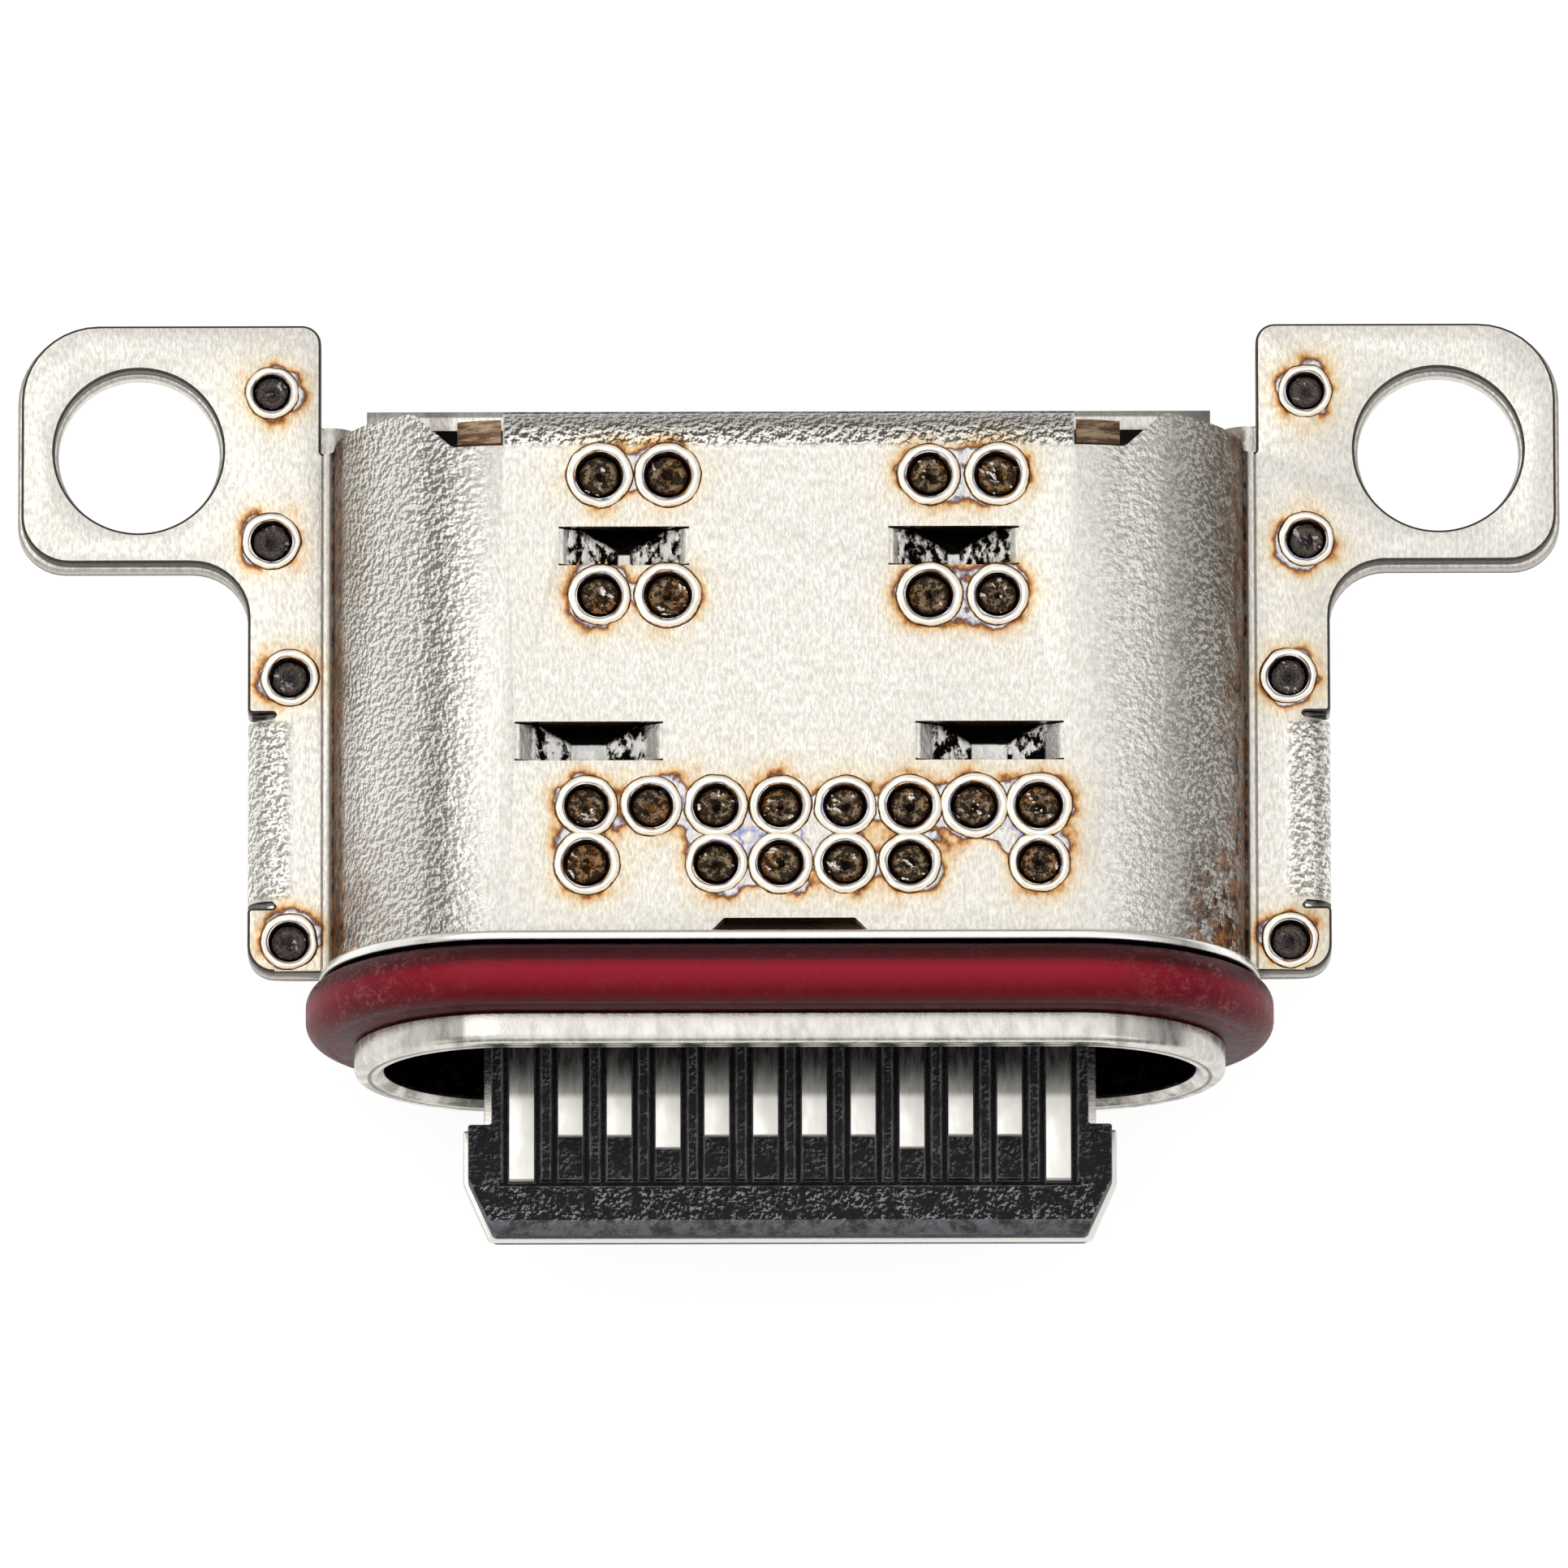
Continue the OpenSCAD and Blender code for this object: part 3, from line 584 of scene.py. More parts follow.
def row_tree():
    """Sets strips side by side; the place in the row picks the ground, power or signal strip."""
    kinds = {"Ground strip": "Object", "Power strip": "Object", "Signal strip": "Object",
             "Pitch": "Float", "Count": "Int", "Finish": "Material"}
    inputs, identifiers = new_tree("row_of_contacts", kinds)
    pitch, count = inputs["Pitch"], inputs["Count"]
    start = pitch.node("ShaderNodeCombineXYZ", {}, {"X": pitch * (count - 1.0) * -0.5})
    step = pitch.node("ShaderNodeCombineXYZ", {}, {"X": pitch})
    line = {"Count": count, "Start Location": start, "Offset": step}
    places = pitch.node("GeometryNodeMeshLine", {"mode": "OFFSET"}, line)
    # Distance from the middle of the row picks the strip: 5.5 pitches is ground and 2.5 is power
    index = pitch.node("GeometryNodeInputIndex")
    away = (index - (count - 1.0) * 0.5).absolute()
    is_ground = away.math("GREATER_THAN", 5.4)
    is_power = (away - 2.5).absolute().math("LESS_THAN", 0.1)
    is_signal = 1.0 - is_ground - is_power
    joined = pitch.tree.nodes.new("GeometryNodeJoinGeometry")
    picks = {"Ground strip": is_ground, "Power strip": is_power, "Signal strip": is_signal}
    for label, chosen in picks.items():
        strip = pitch.node("GeometryNodeObjectInfo", {}, {"Object": inputs[label]}, output="Geometry")
        settings = {"data_type": "FLOAT", "operation": "GREATER_THAN"}
        flag = chosen.node("FunctionNodeCompare", settings, {0: chosen, 1: 0.5})
        copies = {"Points": places, "Selection": flag, "Instance": strip}
        placed = places.node("GeometryNodeInstanceOnPoints", {}, copies)
        pitch.tree.links.new(placed.socket, joined.inputs[0])
    row = Value(pitch.tree, joined.outputs[0])
    send_out(row.node("GeometryNodeRealizeInstances", {}, {"Geometry": row}), inputs["Finish"])
    return pitch.tree, identifiers


def contact_row(name, side, row):
    """Twelve strips of one row, each of the right length for its place."""
    low, high = node_box("contact_" + row + "1")
    drop_y = high.y - foot_len - strip_bend - contact_t
    level = lane_z if side > 0 else -tongue_half_t
    strips = []
    for tip in (ground_tip, power_tip, signal_tip):
        outline = strip_outline(tip, drop_y, level, low.z)
        strip = prism("strip", outline, -contact_half, contact_half, across)
        round_edges(strip, strip_edge, angle=50)
        smooth_below(strip)
        strips.append(strip)
    piece = new_piece(name, [], [])
    grow(piece, *row_tree(), {
        "Ground strip": strips[0], "Power strip": strips[1], "Signal strip": strips[2],
        "Pitch": contact_pitch, "Count": contact_count, "Finish": plated
    })
    for strip in strips:
        bpy.data.objects.remove(strip)
    put_down(piece, plated, "contact_metal", *[f"contact_{row}{n + 1}" for n in range(contact_count)])


plated = contact_metal()
contact_row("contacts_upper_row", 1, "a")
contact_row("contacts_lower_row", -1, "b")

# ---------------------------------------------------------------------------
# Shielding plates and housing: two stamped plates lie on the tongue's root, and the black moulded
# block behind them closes the shell. They keep their solids and get their finish here.

for name, finish, width in (
    ("upper_emc_plate", steel_bright, 0.012),
    ("lower_emc_plate", steel_bright, 0.012),
    ("housing", plastic, 0.02),
):
    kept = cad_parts[name]
    kept.data.materials.clear()
    kept.data.materials.append(finish)
    merge = kept.modifiers.new("merge", "WELD")
    merge.merge_threshold = 0.0005 * MM
    broken = kept.modifiers.new("edges", "BEVEL")
    broken.width = width * MM
    broken.segments = 2
    broken.limit_method = "ANGLE"
    broken.angle_limit = math.radians(40)

# ---------------------------------------------------------------------------
# Shell: one steel tube, drawn without a seam, whose lip, sealing groove and collar are rolled into
# it. Its floor is open over the solder feet, and two short tabs stand out of its rear edge.

mouth_w = 8.34
mouth_h = 2.56
shell_wall = 0.30
lip_len = 0.32
groove_len = 0.66
groove_depth = 0.12
collar_t = 0.12
spine = (mouth_w - mouth_h) / 2
mouth_r = mouth_h / 2
shell_r = mouth_r + shell_wall
groove_r = shell_r - groove_depth
_, shell_high = node_box("shell")
collar_r = shell_high.z
collar_y = lip_len + groove_len
bracket_y = collar_y + collar_t
shell_end = 6.30
tab_end = shell_high.y
flap_half = 2.93


def round_the_mouth(name, section, steps=40, run=24):
    """Carries a section of (distance from the spine, distance behind the lip) round the mouth."""
    path = []
    for side, start in ((1, -90), (-1, 90)):
        path += [(side * spine, math.radians(start + 180 * i / steps)) for i in range(steps + 1)]
        path += [(side * spine * (1 - 2 * i / run), math.radians(start + 180)) for i in range(1, run)]
    count = len(section)
    verts = [(x + r * math.cos(a), y, r * math.sin(a)) for x, a in path for r, y in section]
    rings = len(path)
    faces = [
        (i * count + k, i * count + (k + 1) % count,
         (i + 1) % rings * count + (k + 1) % count, (i + 1) % rings * count + k)
        for i in range(rings) for k in range(count)
    ]
    piece = new_piece(name, verts, faces)
    face_outwards(piece)
    return piece


def shell_steel():
    material, shader, place, (x, y, z) = new_material("shell_steel")
    drawn = noise(place, 10, 4, 0.62, stretch=(1, 0.35, 1))
    grain = noise(place, 42, 2, 0.6)
    side_x = x.absolute()
    side = (side_x - spine).math("MAXIMUM", 0.0)
    reach = (side * side + z * z).math("SQRT")
    shade_mottle = noise(place, 2.2, 4, 0.65).between(0.45, 0.75)
    colour = drawn.between(0.3, 0.7).blend(srgb(207, 202, 194), srgb(241, 238, 231))
    # The lip is painted darker in patches of grime below and towards its ends, and in a band where it
    # begins to bend; this darkening is painted shade as well as grime
    grime = noise(place, 3.2, 4, 0.7).between(0.36, 0.60)
    under = 1 - z.between(-1.1, 0.3)
    bend = side_x.within(3.30, 3.36, 3.38, 3.50) * z.between(0.7, 0.9)
    darkened = grime * (under * 0.55 + side_x.between(3.2, 4.2) * 0.3) + bend * 0.45
    colour = darkened.blend(colour, srgb(104, 92, 80))
    # A dark burr line runs round the lip's front, and the bore behind its lead-in is painted dark, in
    # speckled shade
    front = 1 - y.between(0.01, 0.03)
    burr_r = mouth_r + 0.145
    burr = reach.within(burr_r - 0.03, burr_r - 0.01, burr_r + 0.01, burr_r + 0.03) * front
    colour = (burr * 0.85).blend(colour, srgb(70, 52, 40))
    painted_bore_shade = (1 - reach.between(mouth_r + 0.005, mouth_r + 0.02)) * y.between(0.05, 0.12)
    speck = noise(place, 9, 3, 0.7).between(0.5, 0.62)
    colour = painted_bore_shade.blend(colour, speck.blend(srgb(20, 17, 15), srgb(84, 76, 66)))
    # The collar's front carries a painted dark reflection of the ring
    painted_ring_reflection = reach.between(shell_r + 0.005, shell_r + 0.02)
    painted_ring_reflection = painted_ring_reflection * (1 - y.between(collar_y + 0.015, collar_y + 0.03))
    colour = (painted_ring_reflection * 0.94).blend(colour, srgb(34, 20, 17))
    # A painted highlight runs along the collar's rim
    painted_collar_highlight = reach.between(collar_r - 0.04, collar_r - 0.01) * y.between(collar_y + 0.02, collar_y + 0.04)
    colour = painted_collar_highlight.blend(colour, srgb(250, 248, 243))
    # What the cover hides is painted in mottled brown shade, and the tabs behind the shell's end carry rust
    # streaks
    hidden = y.between(bracket_y + 0.003, bracket_y + 0.03) * reach.between(1.2, 1.3)
    tab = y.between(shell_end + 0.01, shell_end + 0.04)
    streak = noise(place, 8, 3, 0.7, stretch=(0.35, 2.0, 1))
    rust = streak.between(0.36, 0.62).blend(srgb(150, 128, 104), srgb(82, 62, 46))
    shade_and_rust = tab.blend(shade_mottle.blend(srgb(46, 32, 24), srgb(84, 62, 44)), rust)
    colour = hidden.blend(colour, shade_and_rust)
    rough = drawn.between(0.3, 0.7, 0.22, 0.36)
    wire(shader, Base_Color=colour, Metallic=1.0, Roughness=rough)
    wire(shader, Normal=bumped(drawn + grain * 0.5, 0.35, 0.006))
    return material


lip_round = 0.09
collar_round = 0.05
shell_section = (
    [(mouth_r + 0.07, 0.0)]
    + arc(shell_r - lip_round, lip_round, lip_round, -90, 0, 8)
    + [(shell_r, lip_len - 0.02), (shell_r - 0.02, lip_len), (groove_r, lip_len), (groove_r, collar_y)]
    + arc(collar_r - collar_round, collar_y + collar_round, collar_round, -90, 0, 6)
    + arc(collar_r - collar_round, bracket_y - collar_round, collar_round, 0, 90, 6)
    + [(shell_r, bracket_y), (shell_r, tab_end - 0.02), (shell_r - 0.02, tab_end)]
    + [(mouth_r + 0.02, tab_end), (mouth_r, tab_end - 0.02), (mouth_r, 0.07)]
)
shell = round_the_mouth("shell_tube", shell_section)
lances = [(2.05, 0.76, bracket_y + 1.81), (1.69, 0.67, bracket_y + 3.87)]
lance_len = 0.41
tab_in = flap_half + 0.02
tab_out = tab_in + 0.45
floor_y = 4.25
floor_half = 3.05
past = 20
cuts = [
    ((-tab_in, shell_end, -past), (tab_in, past, past)),
    ((-past, shell_end, -past), (-tab_out, past, past)),
    ((tab_out, shell_end, -past), (past, past, past)),
    ((-tab_out - 1, shell_end, -past), (tab_out + 1, past, mouth_r / 2)),
    ((-floor_half, floor_y, -past), (floor_half, past, 0))
]
cuts += [
    ((side * middle - half, y, 0), (side * middle + half, y + lance_len, past))
    for middle, half, y in lances for side in (-1, 1)
]
combine(shell, [block(*corners) for corners in cuts], "DIFFERENCE")
smooth_below(shell, 30)
put_down(shell, shell_steel(), "shell_steel", "shell")

# ---------------------------------------------------------------------------
# Sealing ring: one moulded loop of crimson silicone, stretched into the groove behind the lip. It
# stands prouder than the collar, and lint dulls its ends.

ring_low, ring_high = node_box("sealing_ring")
ring_out = ring_high.z


def seal_rubber():
    material, shader, place, (x, y, _) = new_material("seal_rubber")
    ends = x.absolute().between(3.0, 4.4)
    dust = noise(place, 6.5, 6, 0.75)
    lint = noise(place, 24, 3, 0.7)
    dusty = dust.between(0.44, 0.64) * lint.between(0.38, 0.62) * (0.10 + ends * 0.70)
    # Across the ring the crimson is painted lighter on the crown and darker on both flanks as light and
    # shade, with a painted dark reflection of the collar on the rear flank
    start, end = ring_low.y, ring_high.y
    across_ring = (y + (dust - 0.5) * 0.05 - start) / (end - start)
    colour = across_ring.ramp(
        (0.00, srgb(60, 4, 12)), (0.10, srgb(104, 5, 20)), (0.30, srgb(140, 8, 32)),
        (0.50, srgb(158, 16, 42)), (0.60, srgb(136, 12, 34)), (0.67, srgb(76, 14, 20)),
        (0.88, srgb(56, 18, 20)), (0.97, srgb(24, 8, 8))
    )
    colour = (ends * 0.45).blend(colour, srgb(64, 14, 20))
    colour = dusty.blend(colour, srgb(150, 82, 86))
    rough = dust.between(0.3, 0.7, 0.36, 0.54)
    wire(shader, Base_Color=colour, Roughness=rough, Specular_IOR_Level=0.16)
    wire(shader, Normal=bumped(dust * 0.7 + lint * 0.5, 0.35, 0.014))
    return material


def ring_section():
    crown = 0.24
    low, high = ring_low.y, ring_high.y
    seat = groove_r
    return (
        [(seat, high), (seat, low)]
        + [(ring_out - crown - 0.06, low), (ring_out - crown - 0.02, low + 0.02)]
        + arc(ring_out - crown, low + crown + 0.015, crown, -86, 0, 14)
        + arc(ring_out - crown, high - crown - 0.015, crown, 0, 86, 14)
        + [(ring_out - crown - 0.02, high - 0.02), (ring_out - crown - 0.06, high)]
    )


sealing_ring = round_the_mouth("sealing_loop", ring_section(), steps=64, run=40)
smooth_below(sealing_ring, 50)
put_down(sealing_ring, seal_rubber(), "seal_rubber", "sealing_ring")

# ---------------------------------------------------------------------------
# Lower bracket: one stamped and folded sheet of stainless steel, the trough under the shell. It has
# windows over both rows of solder feet, a wall folded up at the rear, and an ear on each side.

sheet_t = 0.20
sheet_gap = 0.02
seam_z = -0.10
fold_r = 0.11
bracket_r = shell_r + sheet_gap
arch_r = bracket_r + sheet_t
arch_half = spine + arch_r
arch_foot = (arch_half - 0.03, arch_half + 0.03)
flange_half = arch_half + 0.88
cover_end = shell_end + 0.35
screw_x = 6.70
screw_y = cover_end - 0.02
ear_in = arch_half + 0.13
ear_out = screw_x + 1.21
ear_front = screw_y - 1.19
ear_rear = screw_y + 1.34
leg_y = bracket_y + 0.75
leg_end = leg_y + 1.92
leg_relief = 0.07
leg_bend = 0.075 + sheet_t
# Cutters go this far up and down through the sheets
through = 3
edge_round = 0.022
rim_round = 0.028


def sheet_face(side, depth, reach):
    """The right half of one face of a folded sheet in section, from the middle out to the flange."""
    fold_z = seam_z + side * (sheet_t + fold_r)
    fold_x = spine + math.sqrt((arch_r + fold_r) ** 2 - fold_z ** 2)
    lean = math.degrees(math.atan2(side * fold_z, fold_x - spine))
    arch = arc(spine, 0, bracket_r + depth, 90, lean, 36)
    fold = arc(fold_x, side * fold_z, fold_r + sheet_t - depth, 180 + lean, 270, 12)
    run = [(0, bracket_r + depth)] + arch + fold + [(reach, side * seam_z + depth)]
    return [(x, side * z) for x, z in run]


def sheet_section(side):
    """A folded sheet in section, whose left half mirrors its right half."""
    outer = sheet_face(side, sheet_t, far)
    inner = sheet_face(side, 0, far)
    left_inner = [(-x, z) for x, z in inner[1:]]
    left_outer = [(-x, z) for x, z in outer[1:]][::-1]
    return outer[1:] + inner[1:][::-1] + left_inner + left_outer


def weld_places():
    """Where the cover is welded to the shell, as (x, y)."""
    front = [
        ((n - 3.5) * 0.661 + 0.24, bracket_y + 0.73 + (1 - row) * 0.60)
        for row in (0, 1) for n in range(8) if row == 0 or n not in (1, 6)
    ]
    middle, _, lance_y = lances[1]
    back = [
        (side * middle + end * 0.70 + 0.10, lance_y + lance_len / 2 + off)
        for side in (-1, 1) for off in (-0.52, 0.75) for end in (-0.5, 0.5)
    ]
    return front, back


def flange_weld_places():
    """Where the two flanges are welded together, as (x, y)."""
    spots = (
        (0.45, bracket_y + 0.32), (0.45, leg_end + 0.45), (0.64, screw_y - 0.96), (0.64, screw_y + 0.62)
    )
    return [(side * (arch_half + x), y) for side in (-1, 1) for x, y in spots]


front_welds, rear_welds = weld_places()
flange_welds = flange_weld_places()
notch_y = cover_end - 0.41
flap_y = cover_end + 0.01 - sheet_t
flap_fold = 0.18
flap_fold_y = flap_y - flap_fold
wall_y = cover_end + 0.04


def stretched_skin(colour, weave, place, x, y):
    """Orange peel where the sheet was stretched, painted in light and shade, and painted dark reflection
    bands; also says how far it is peeled.
    """
    side_x = x.absolute()
    shoulder = side_x.within(spine + 0.01, 3.6, *arch_foot)
    shoulder = shoulder * (1 - y.between(cover_end + 0.005, cover_end + 0.02))
    leg = side_x.between(arch_half + 0.39, arch_half + 0.51)
    leg = leg * y.within(leg_y, leg_y + 0.06, leg_end - 0.06, leg_end)
    fold = y.between(notch_y - 0.06, notch_y + 0.05) * (1 - side_x.between(2.90, 2.94))
    peeled = (shoulder + leg + fold).at_most(1.0)
    # Each shoulder has a painted dark reflection band, on the left along its crown and on the right towards
    # its foot, and the rear fold a painted dark band
    painted_dark_band = (-x).within(3.36, 3.56, 3.66, 3.86) * 0.50 + (-x).within(4.18, 4.60, *arch_foot) * 0.46
    painted_dark_band = painted_dark_band + x.within(3.7, 4.4, *arch_foot) * 0.66
    painted_dark_band = painted_dark_band + fold * y.between(flap_fold_y + 0.05, cover_end - 0.05) * 0.65
    colour = (painted_dark_band + (weave - 0.5) * painted_dark_band).blend(colour, srgb(84, 74, 64))
    # The right shoulder is smoother than the left one, above all near the flat, so less of the peel's
    # painted light and shade is laid on there
    contrast = x.between(0.0, 0.1, 1.0, 0.35) + x.within(3.8, 4.3, 4.9, 5.0) * 0.45
    contrast = (contrast + x.between(4.95, 5.0) * 0.65 + fold).at_most(1.0) * peeled
    # The peel is painted in shade and highlights, from how its relief catches light
    lit = relief(place, 17, 2, (0.008, -0.011, 0.008))
    shaded = contrast * (1 - lit.between(0.18, 0.52)) * (0.58 + fold * 0.32)
    colour = shaded.blend(colour, srgb(84, 76, 68))
    colour = (contrast * lit.between(0.56, 0.80) * (1.0 - painted_dark_band * 0.9)).blend(colour, srgb(255, 253, 248))
    return colour, peeled


def dark_lines(colour, x, y, z):
    """The shadow lines at the arch's foot and front edge, and the dull ends of the rear wall's top."""
    side_x = x.absolute()
    darkened = side_x.between(3.78, 3.82) * y.between(cover_end + 0.01, cover_end + 0.03)
    darkened = (darkened + y.between(wall_y + 0.13, wall_y + 0.15)).at_most(1.0) * z.between(0.1, 0.3)
    colour = (darkened * 0.7).blend(colour, srgb(84, 80, 76))
    foot = arch_half + 0.01
    line = side_x.within(foot, foot + 0.01, foot + 0.03, foot + 0.04) * z.between(0.0, 0.08)
    bend = arch_half + 0.095
    line = line + side_x.within(bend, bend + 0.01, bend + 0.03, bend + 0.04) * z.between(0.05, 0.09)
    seam = (1 - y.between(bracket_y + 0.012, bracket_y + 0.03)) * z.between(0.12, 0.2)
    return (line * 0.7 + seam * 0.9).blend(colour, srgb(62, 50, 42))


def weld_heat(place, x, y, z):
    """The tint round the welds. Each adds its own heat, so crowded welds run hotter between them."""
    wobble = noise(place, 7, 3, 0.6) * 0.14 - 0.07
    glows = []
    for spot_x, spot_y in front_welds + rear_welds + flange_welds:
        dx, dy = x - spot_x, y - spot_y
        near = (dx * dx + dy * dy).math("SQRT") + wobble
        glows.append((near * near * (-1 / 0.32 ** 2)).math("EXPONENT"))
    heat = sum(glows[1:], glows[0]) * noise(place, 2.1, 2, 0.5).between(0.32, 0.66, 0.32, 1.0)
    heat = heat * x.absolute().between(arch_half + 0.11, arch_half + 0.21, 0.95, 0.85)
    return (heat * z.between(-0.25, -0.05)).ramp(
        (0.00, srgb(255, 255, 255)), (0.07, srgb(255, 251, 241)), (0.13, srgb(253, 240, 220)),
        (0.19, srgb(244, 212, 168)), (0.235, srgb(204, 142, 84)), (0.27, srgb(120, 80, 62)),
        (0.295, srgb(150, 140, 156)), (0.33, srgb(238, 240, 250)), (0.48, srgb(252, 249, 244)),
        (0.60, srgb(150, 160, 232)), (0.66, srgb(252, 248, 244))
    )


def burnt_oil(colour, place, x, y, z):
    """A brown line along the foot of the arch, and patches at its front corners and on its right."""
    foot = x.absolute().within(arch_half - 0.14, arch_half - 0.07, arch_half, arch_half + 0.04)
    foot = foot * z.between(-0.05, 0.12) * x.between(-0.1, 0.1, 1.15, 0.62)
    blotch = noise(place, 4.2, 5, 0.75).between(0.44, 0.54)
    right_foot = x.within(4.24, 4.60, arch_half + 0.01, arch_half + 0.05)
    right_front = x.within(3.75, 4.35, *arch_foot) * (1 - y.between(bracket_y + 0.4, bracket_y + 1.4))
    left_front = (-x).within(3.7, 4.6, *arch_foot) * (1 - y.between(bracket_y + 0.3, bracket_y + 1.7))
    burnt = foot * (0.70 + blotch * 0.30) + right_foot * blotch * 0.6 + right_front * blotch * 0.85
    burnt = (burnt + left_front * (0.2 + blotch * 0.35)).at_most(1.0)
    oil = noise(place, 8, 3, 0.7).between(0.42, 0.62).blend(srgb(54, 30, 18), srgb(150, 100, 56))
    return burnt.blend(colour, oil)


def pressed_lances(colour, place, x, y, z):
    """Painted black shadow behind each pressed tab, a painted highlight on the tab, and painted highlights
    and dark reflections broken up by torn metal on the slopes beside it.
    """
    (front_x, _, front_y), (rear_x, _, rear_y) = lances
    rear = y.between(rear_y - 0.97, rear_y - 0.87)
    back = (y - front_y - rear * (rear_y - front_y)) / lance_len
    away = (x.absolute() - front_x + rear * (front_x - rear_x)).absolute()
    pressed = (1 - z.between(arch_r - 0.03, arch_r - 0.01)) * z.between(0.9, 1.0)
    pressed = pressed * (1 - away.between(0.80, 0.82)) * back.within(-0.1, 0.0, 1.0, 1.1)
    torn = noise(place, 8, 3, 0.65, stretch=(1, 0.7, 1))
    # The deeper it lies, the further forward it is seen; the rear pair's tabs are narrower
    seen = back - (arch_r - z) * (0.25 / lance_len)
    funnel = seen.between(0.30, 0.95, 0.17, 0.50) + (torn - 0.5) * 0.2 - rear * 0.08
    tab = 1 - (away - (0.18 - rear * 0.12)).between(-0.01, 0.01)
    tab = tab * (1 - (seen - (0.38 - rear * 0.12)).between(-0.03, 0.03))
    painted_inner_shade = (1 - (away - funnel).between(-0.03, 0.03)) * (1 - tab) * seen.between(0.02, 0.14)
    end_flat = away.between(0.56, 0.60)
    dark = painted_inner_shade + (1 - painted_inner_shade) * (1 - tab) * (1 - end_flat) * torn.between(0.56, 0.46)
    painted_tab_highlight = tab * pressed
    bright = pressed * (1 - painted_inner_shade) * (1 - end_flat) * torn.between(0.50, 0.62)
    # Near the rear of the shadow the shear wall is painted in brown shade
    shear = seen.between(0.82, 0.90) * painted_inner_shade * pressed
    colour = (end_flat * pressed * 0.75).blend(colour, srgb(150, 148, 144))
    colour = (painted_tab_highlight * 0.8 + bright).at_most(1.0).blend(colour, srgb(250, 248, 244))
    colour = (dark.at_most(1.0) * pressed).blend(colour, srgb(12, 10, 9))
    return (shear * 0.7).blend(colour, srgb(70, 44, 30)), painted_tab_highlight + bright, torn * pressed


def bracket_steel():
    material, shader, place, (x, y, z) = new_material("bracket_steel")
    grain = noise(place, 30, 3, 0.62, stretch=(1, 0.42, 1))
    weave = noise(place, 12, 4, 0.68, stretch=(1, 0.8, 1))
    colour = weave.between(0.3, 0.7).blend(srgb(228, 223, 214), srgb(244, 240, 232))
    colour = (grain.between(0.40, 0.64) * 0.42).blend(colour, srgb(190, 184, 174))
    colour, peeled = stretched_skin(colour, weave, place, x, y)
    colour = dark_lines(colour, x, y, z)
    tinted = {0: 1.0, 6: colour, 7: weld_heat(place, x, y, z)}
    colour = colour.node("ShaderNodeMix", {"data_type": "RGBA", "blend_type": "MULTIPLY"}, tinted, output=2)
    colour = burnt_oil(colour, place, x, y, z)
    # The sheared edges are painted dark: partly their own rough face, partly painted shade and painted dark
    # reflection; low down a painted shadow line darkens them more
    cut = attribute(place, "cut")
    low_shadow_line = (1 - z.between(-0.22, -0.20)) * cut.between(0.1, 0.2)
    colour = (cut * 0.94 + low_shadow_line * 0.5).at_most(1.0).blend(colour, srgb(44, 36, 30))
    colour, bright, torn = pressed_lances(colour, place, x, y, z)
    rough = grain.between(0.3, 0.7, 0.30, 0.42) + peeled * 0.04
    height = noise(place, 17, 2, 0.5) * peeled + grain * (1 - peeled) * 0.2 + torn
    wire(shader, Base_Color=colour, Metallic=1 - bright * 0.6, Roughness=rough)
    wire(shader, Normal=bumped(height, 1.0, 0.026))
    return material


def on_flange(corner):
    """Whether a corner lies on the flat faces of a flange or ear."""
    flats = (seam_z - sheet_t, seam_z, seam_z + sheet_t)
    return abs(corner.x) > arch_half + 0.09 and any(abs(corner.z - flat) < 1e-3 for flat in flats)


def cut_share(centre, normal, hole_wall):
    """1 on the sheared edges of a sheet, 0 on its faces and folds, and a share of its own in a hole."""
    if abs(normal.y) > 0.8 and centre.y < notch_y + 0.02:
        return 1.0
    beside_leg = leg_y < centre.y < leg_end and abs(normal.y) < 0.5
    if abs(centre.x) < arch_half + 0.11 or beside_leg or abs(normal.z) > 0.97:
        return 0.0
    in_hole = math.dist((abs(centre.x), centre.y), (screw_x, screw_y)) < 1.0
    return hole_wall if in_hole and abs(normal.z) < 0.35 else 1.0


def screw_cutters(radius):
    """What cuts the two ears' screw holes."""
    rings = [arc(side * screw_x, screw_y, radius, 0, 360, 96)[:-1] for side in (-1, 1)]
    return [prism("screw", ring, -through, through, lying) for ring in rings]


def flange_outline(extra, relief_y, back):
    """The right half of a bracket's outline seen from above, from front to back."""
    return [
        (flange_half, bracket_y, 0.28),
        (flange_half, leg_y - leg_relief, 0.05), (flange_half - leg_bend, leg_y - leg_relief, 0.02),
        (flange_half - leg_bend, leg_end + leg_relief, 0.02), (flange_half, leg_end + leg_relief, 0.05),
        (flange_half, ear_front - extra, 0.58), (ear_out + extra, ear_front - extra, 0.50),
        (ear_out + extra, ear_rear + extra / 2, 0.80), (ear_in, ear_rear + extra / 2, 0.20),
        (ear_in, relief_y, 0.03), *back
    ]


steel = bracket_steel()
lower_extra = 0.04
lower_hole_r = 0.83
lower_end = cover_end + 0.275
wall_half = 4.34
wall_top = 0.67
wall_low = -0.4
wall_fold = 0.08
trough_end = cover_end - 0.05
front_row_y = back_wall_y + 0.75
rear_row_y = shell_end - 0.56
window_lead = 0.1
window_len = contact_t + strip_bend + foot_len + 0.2

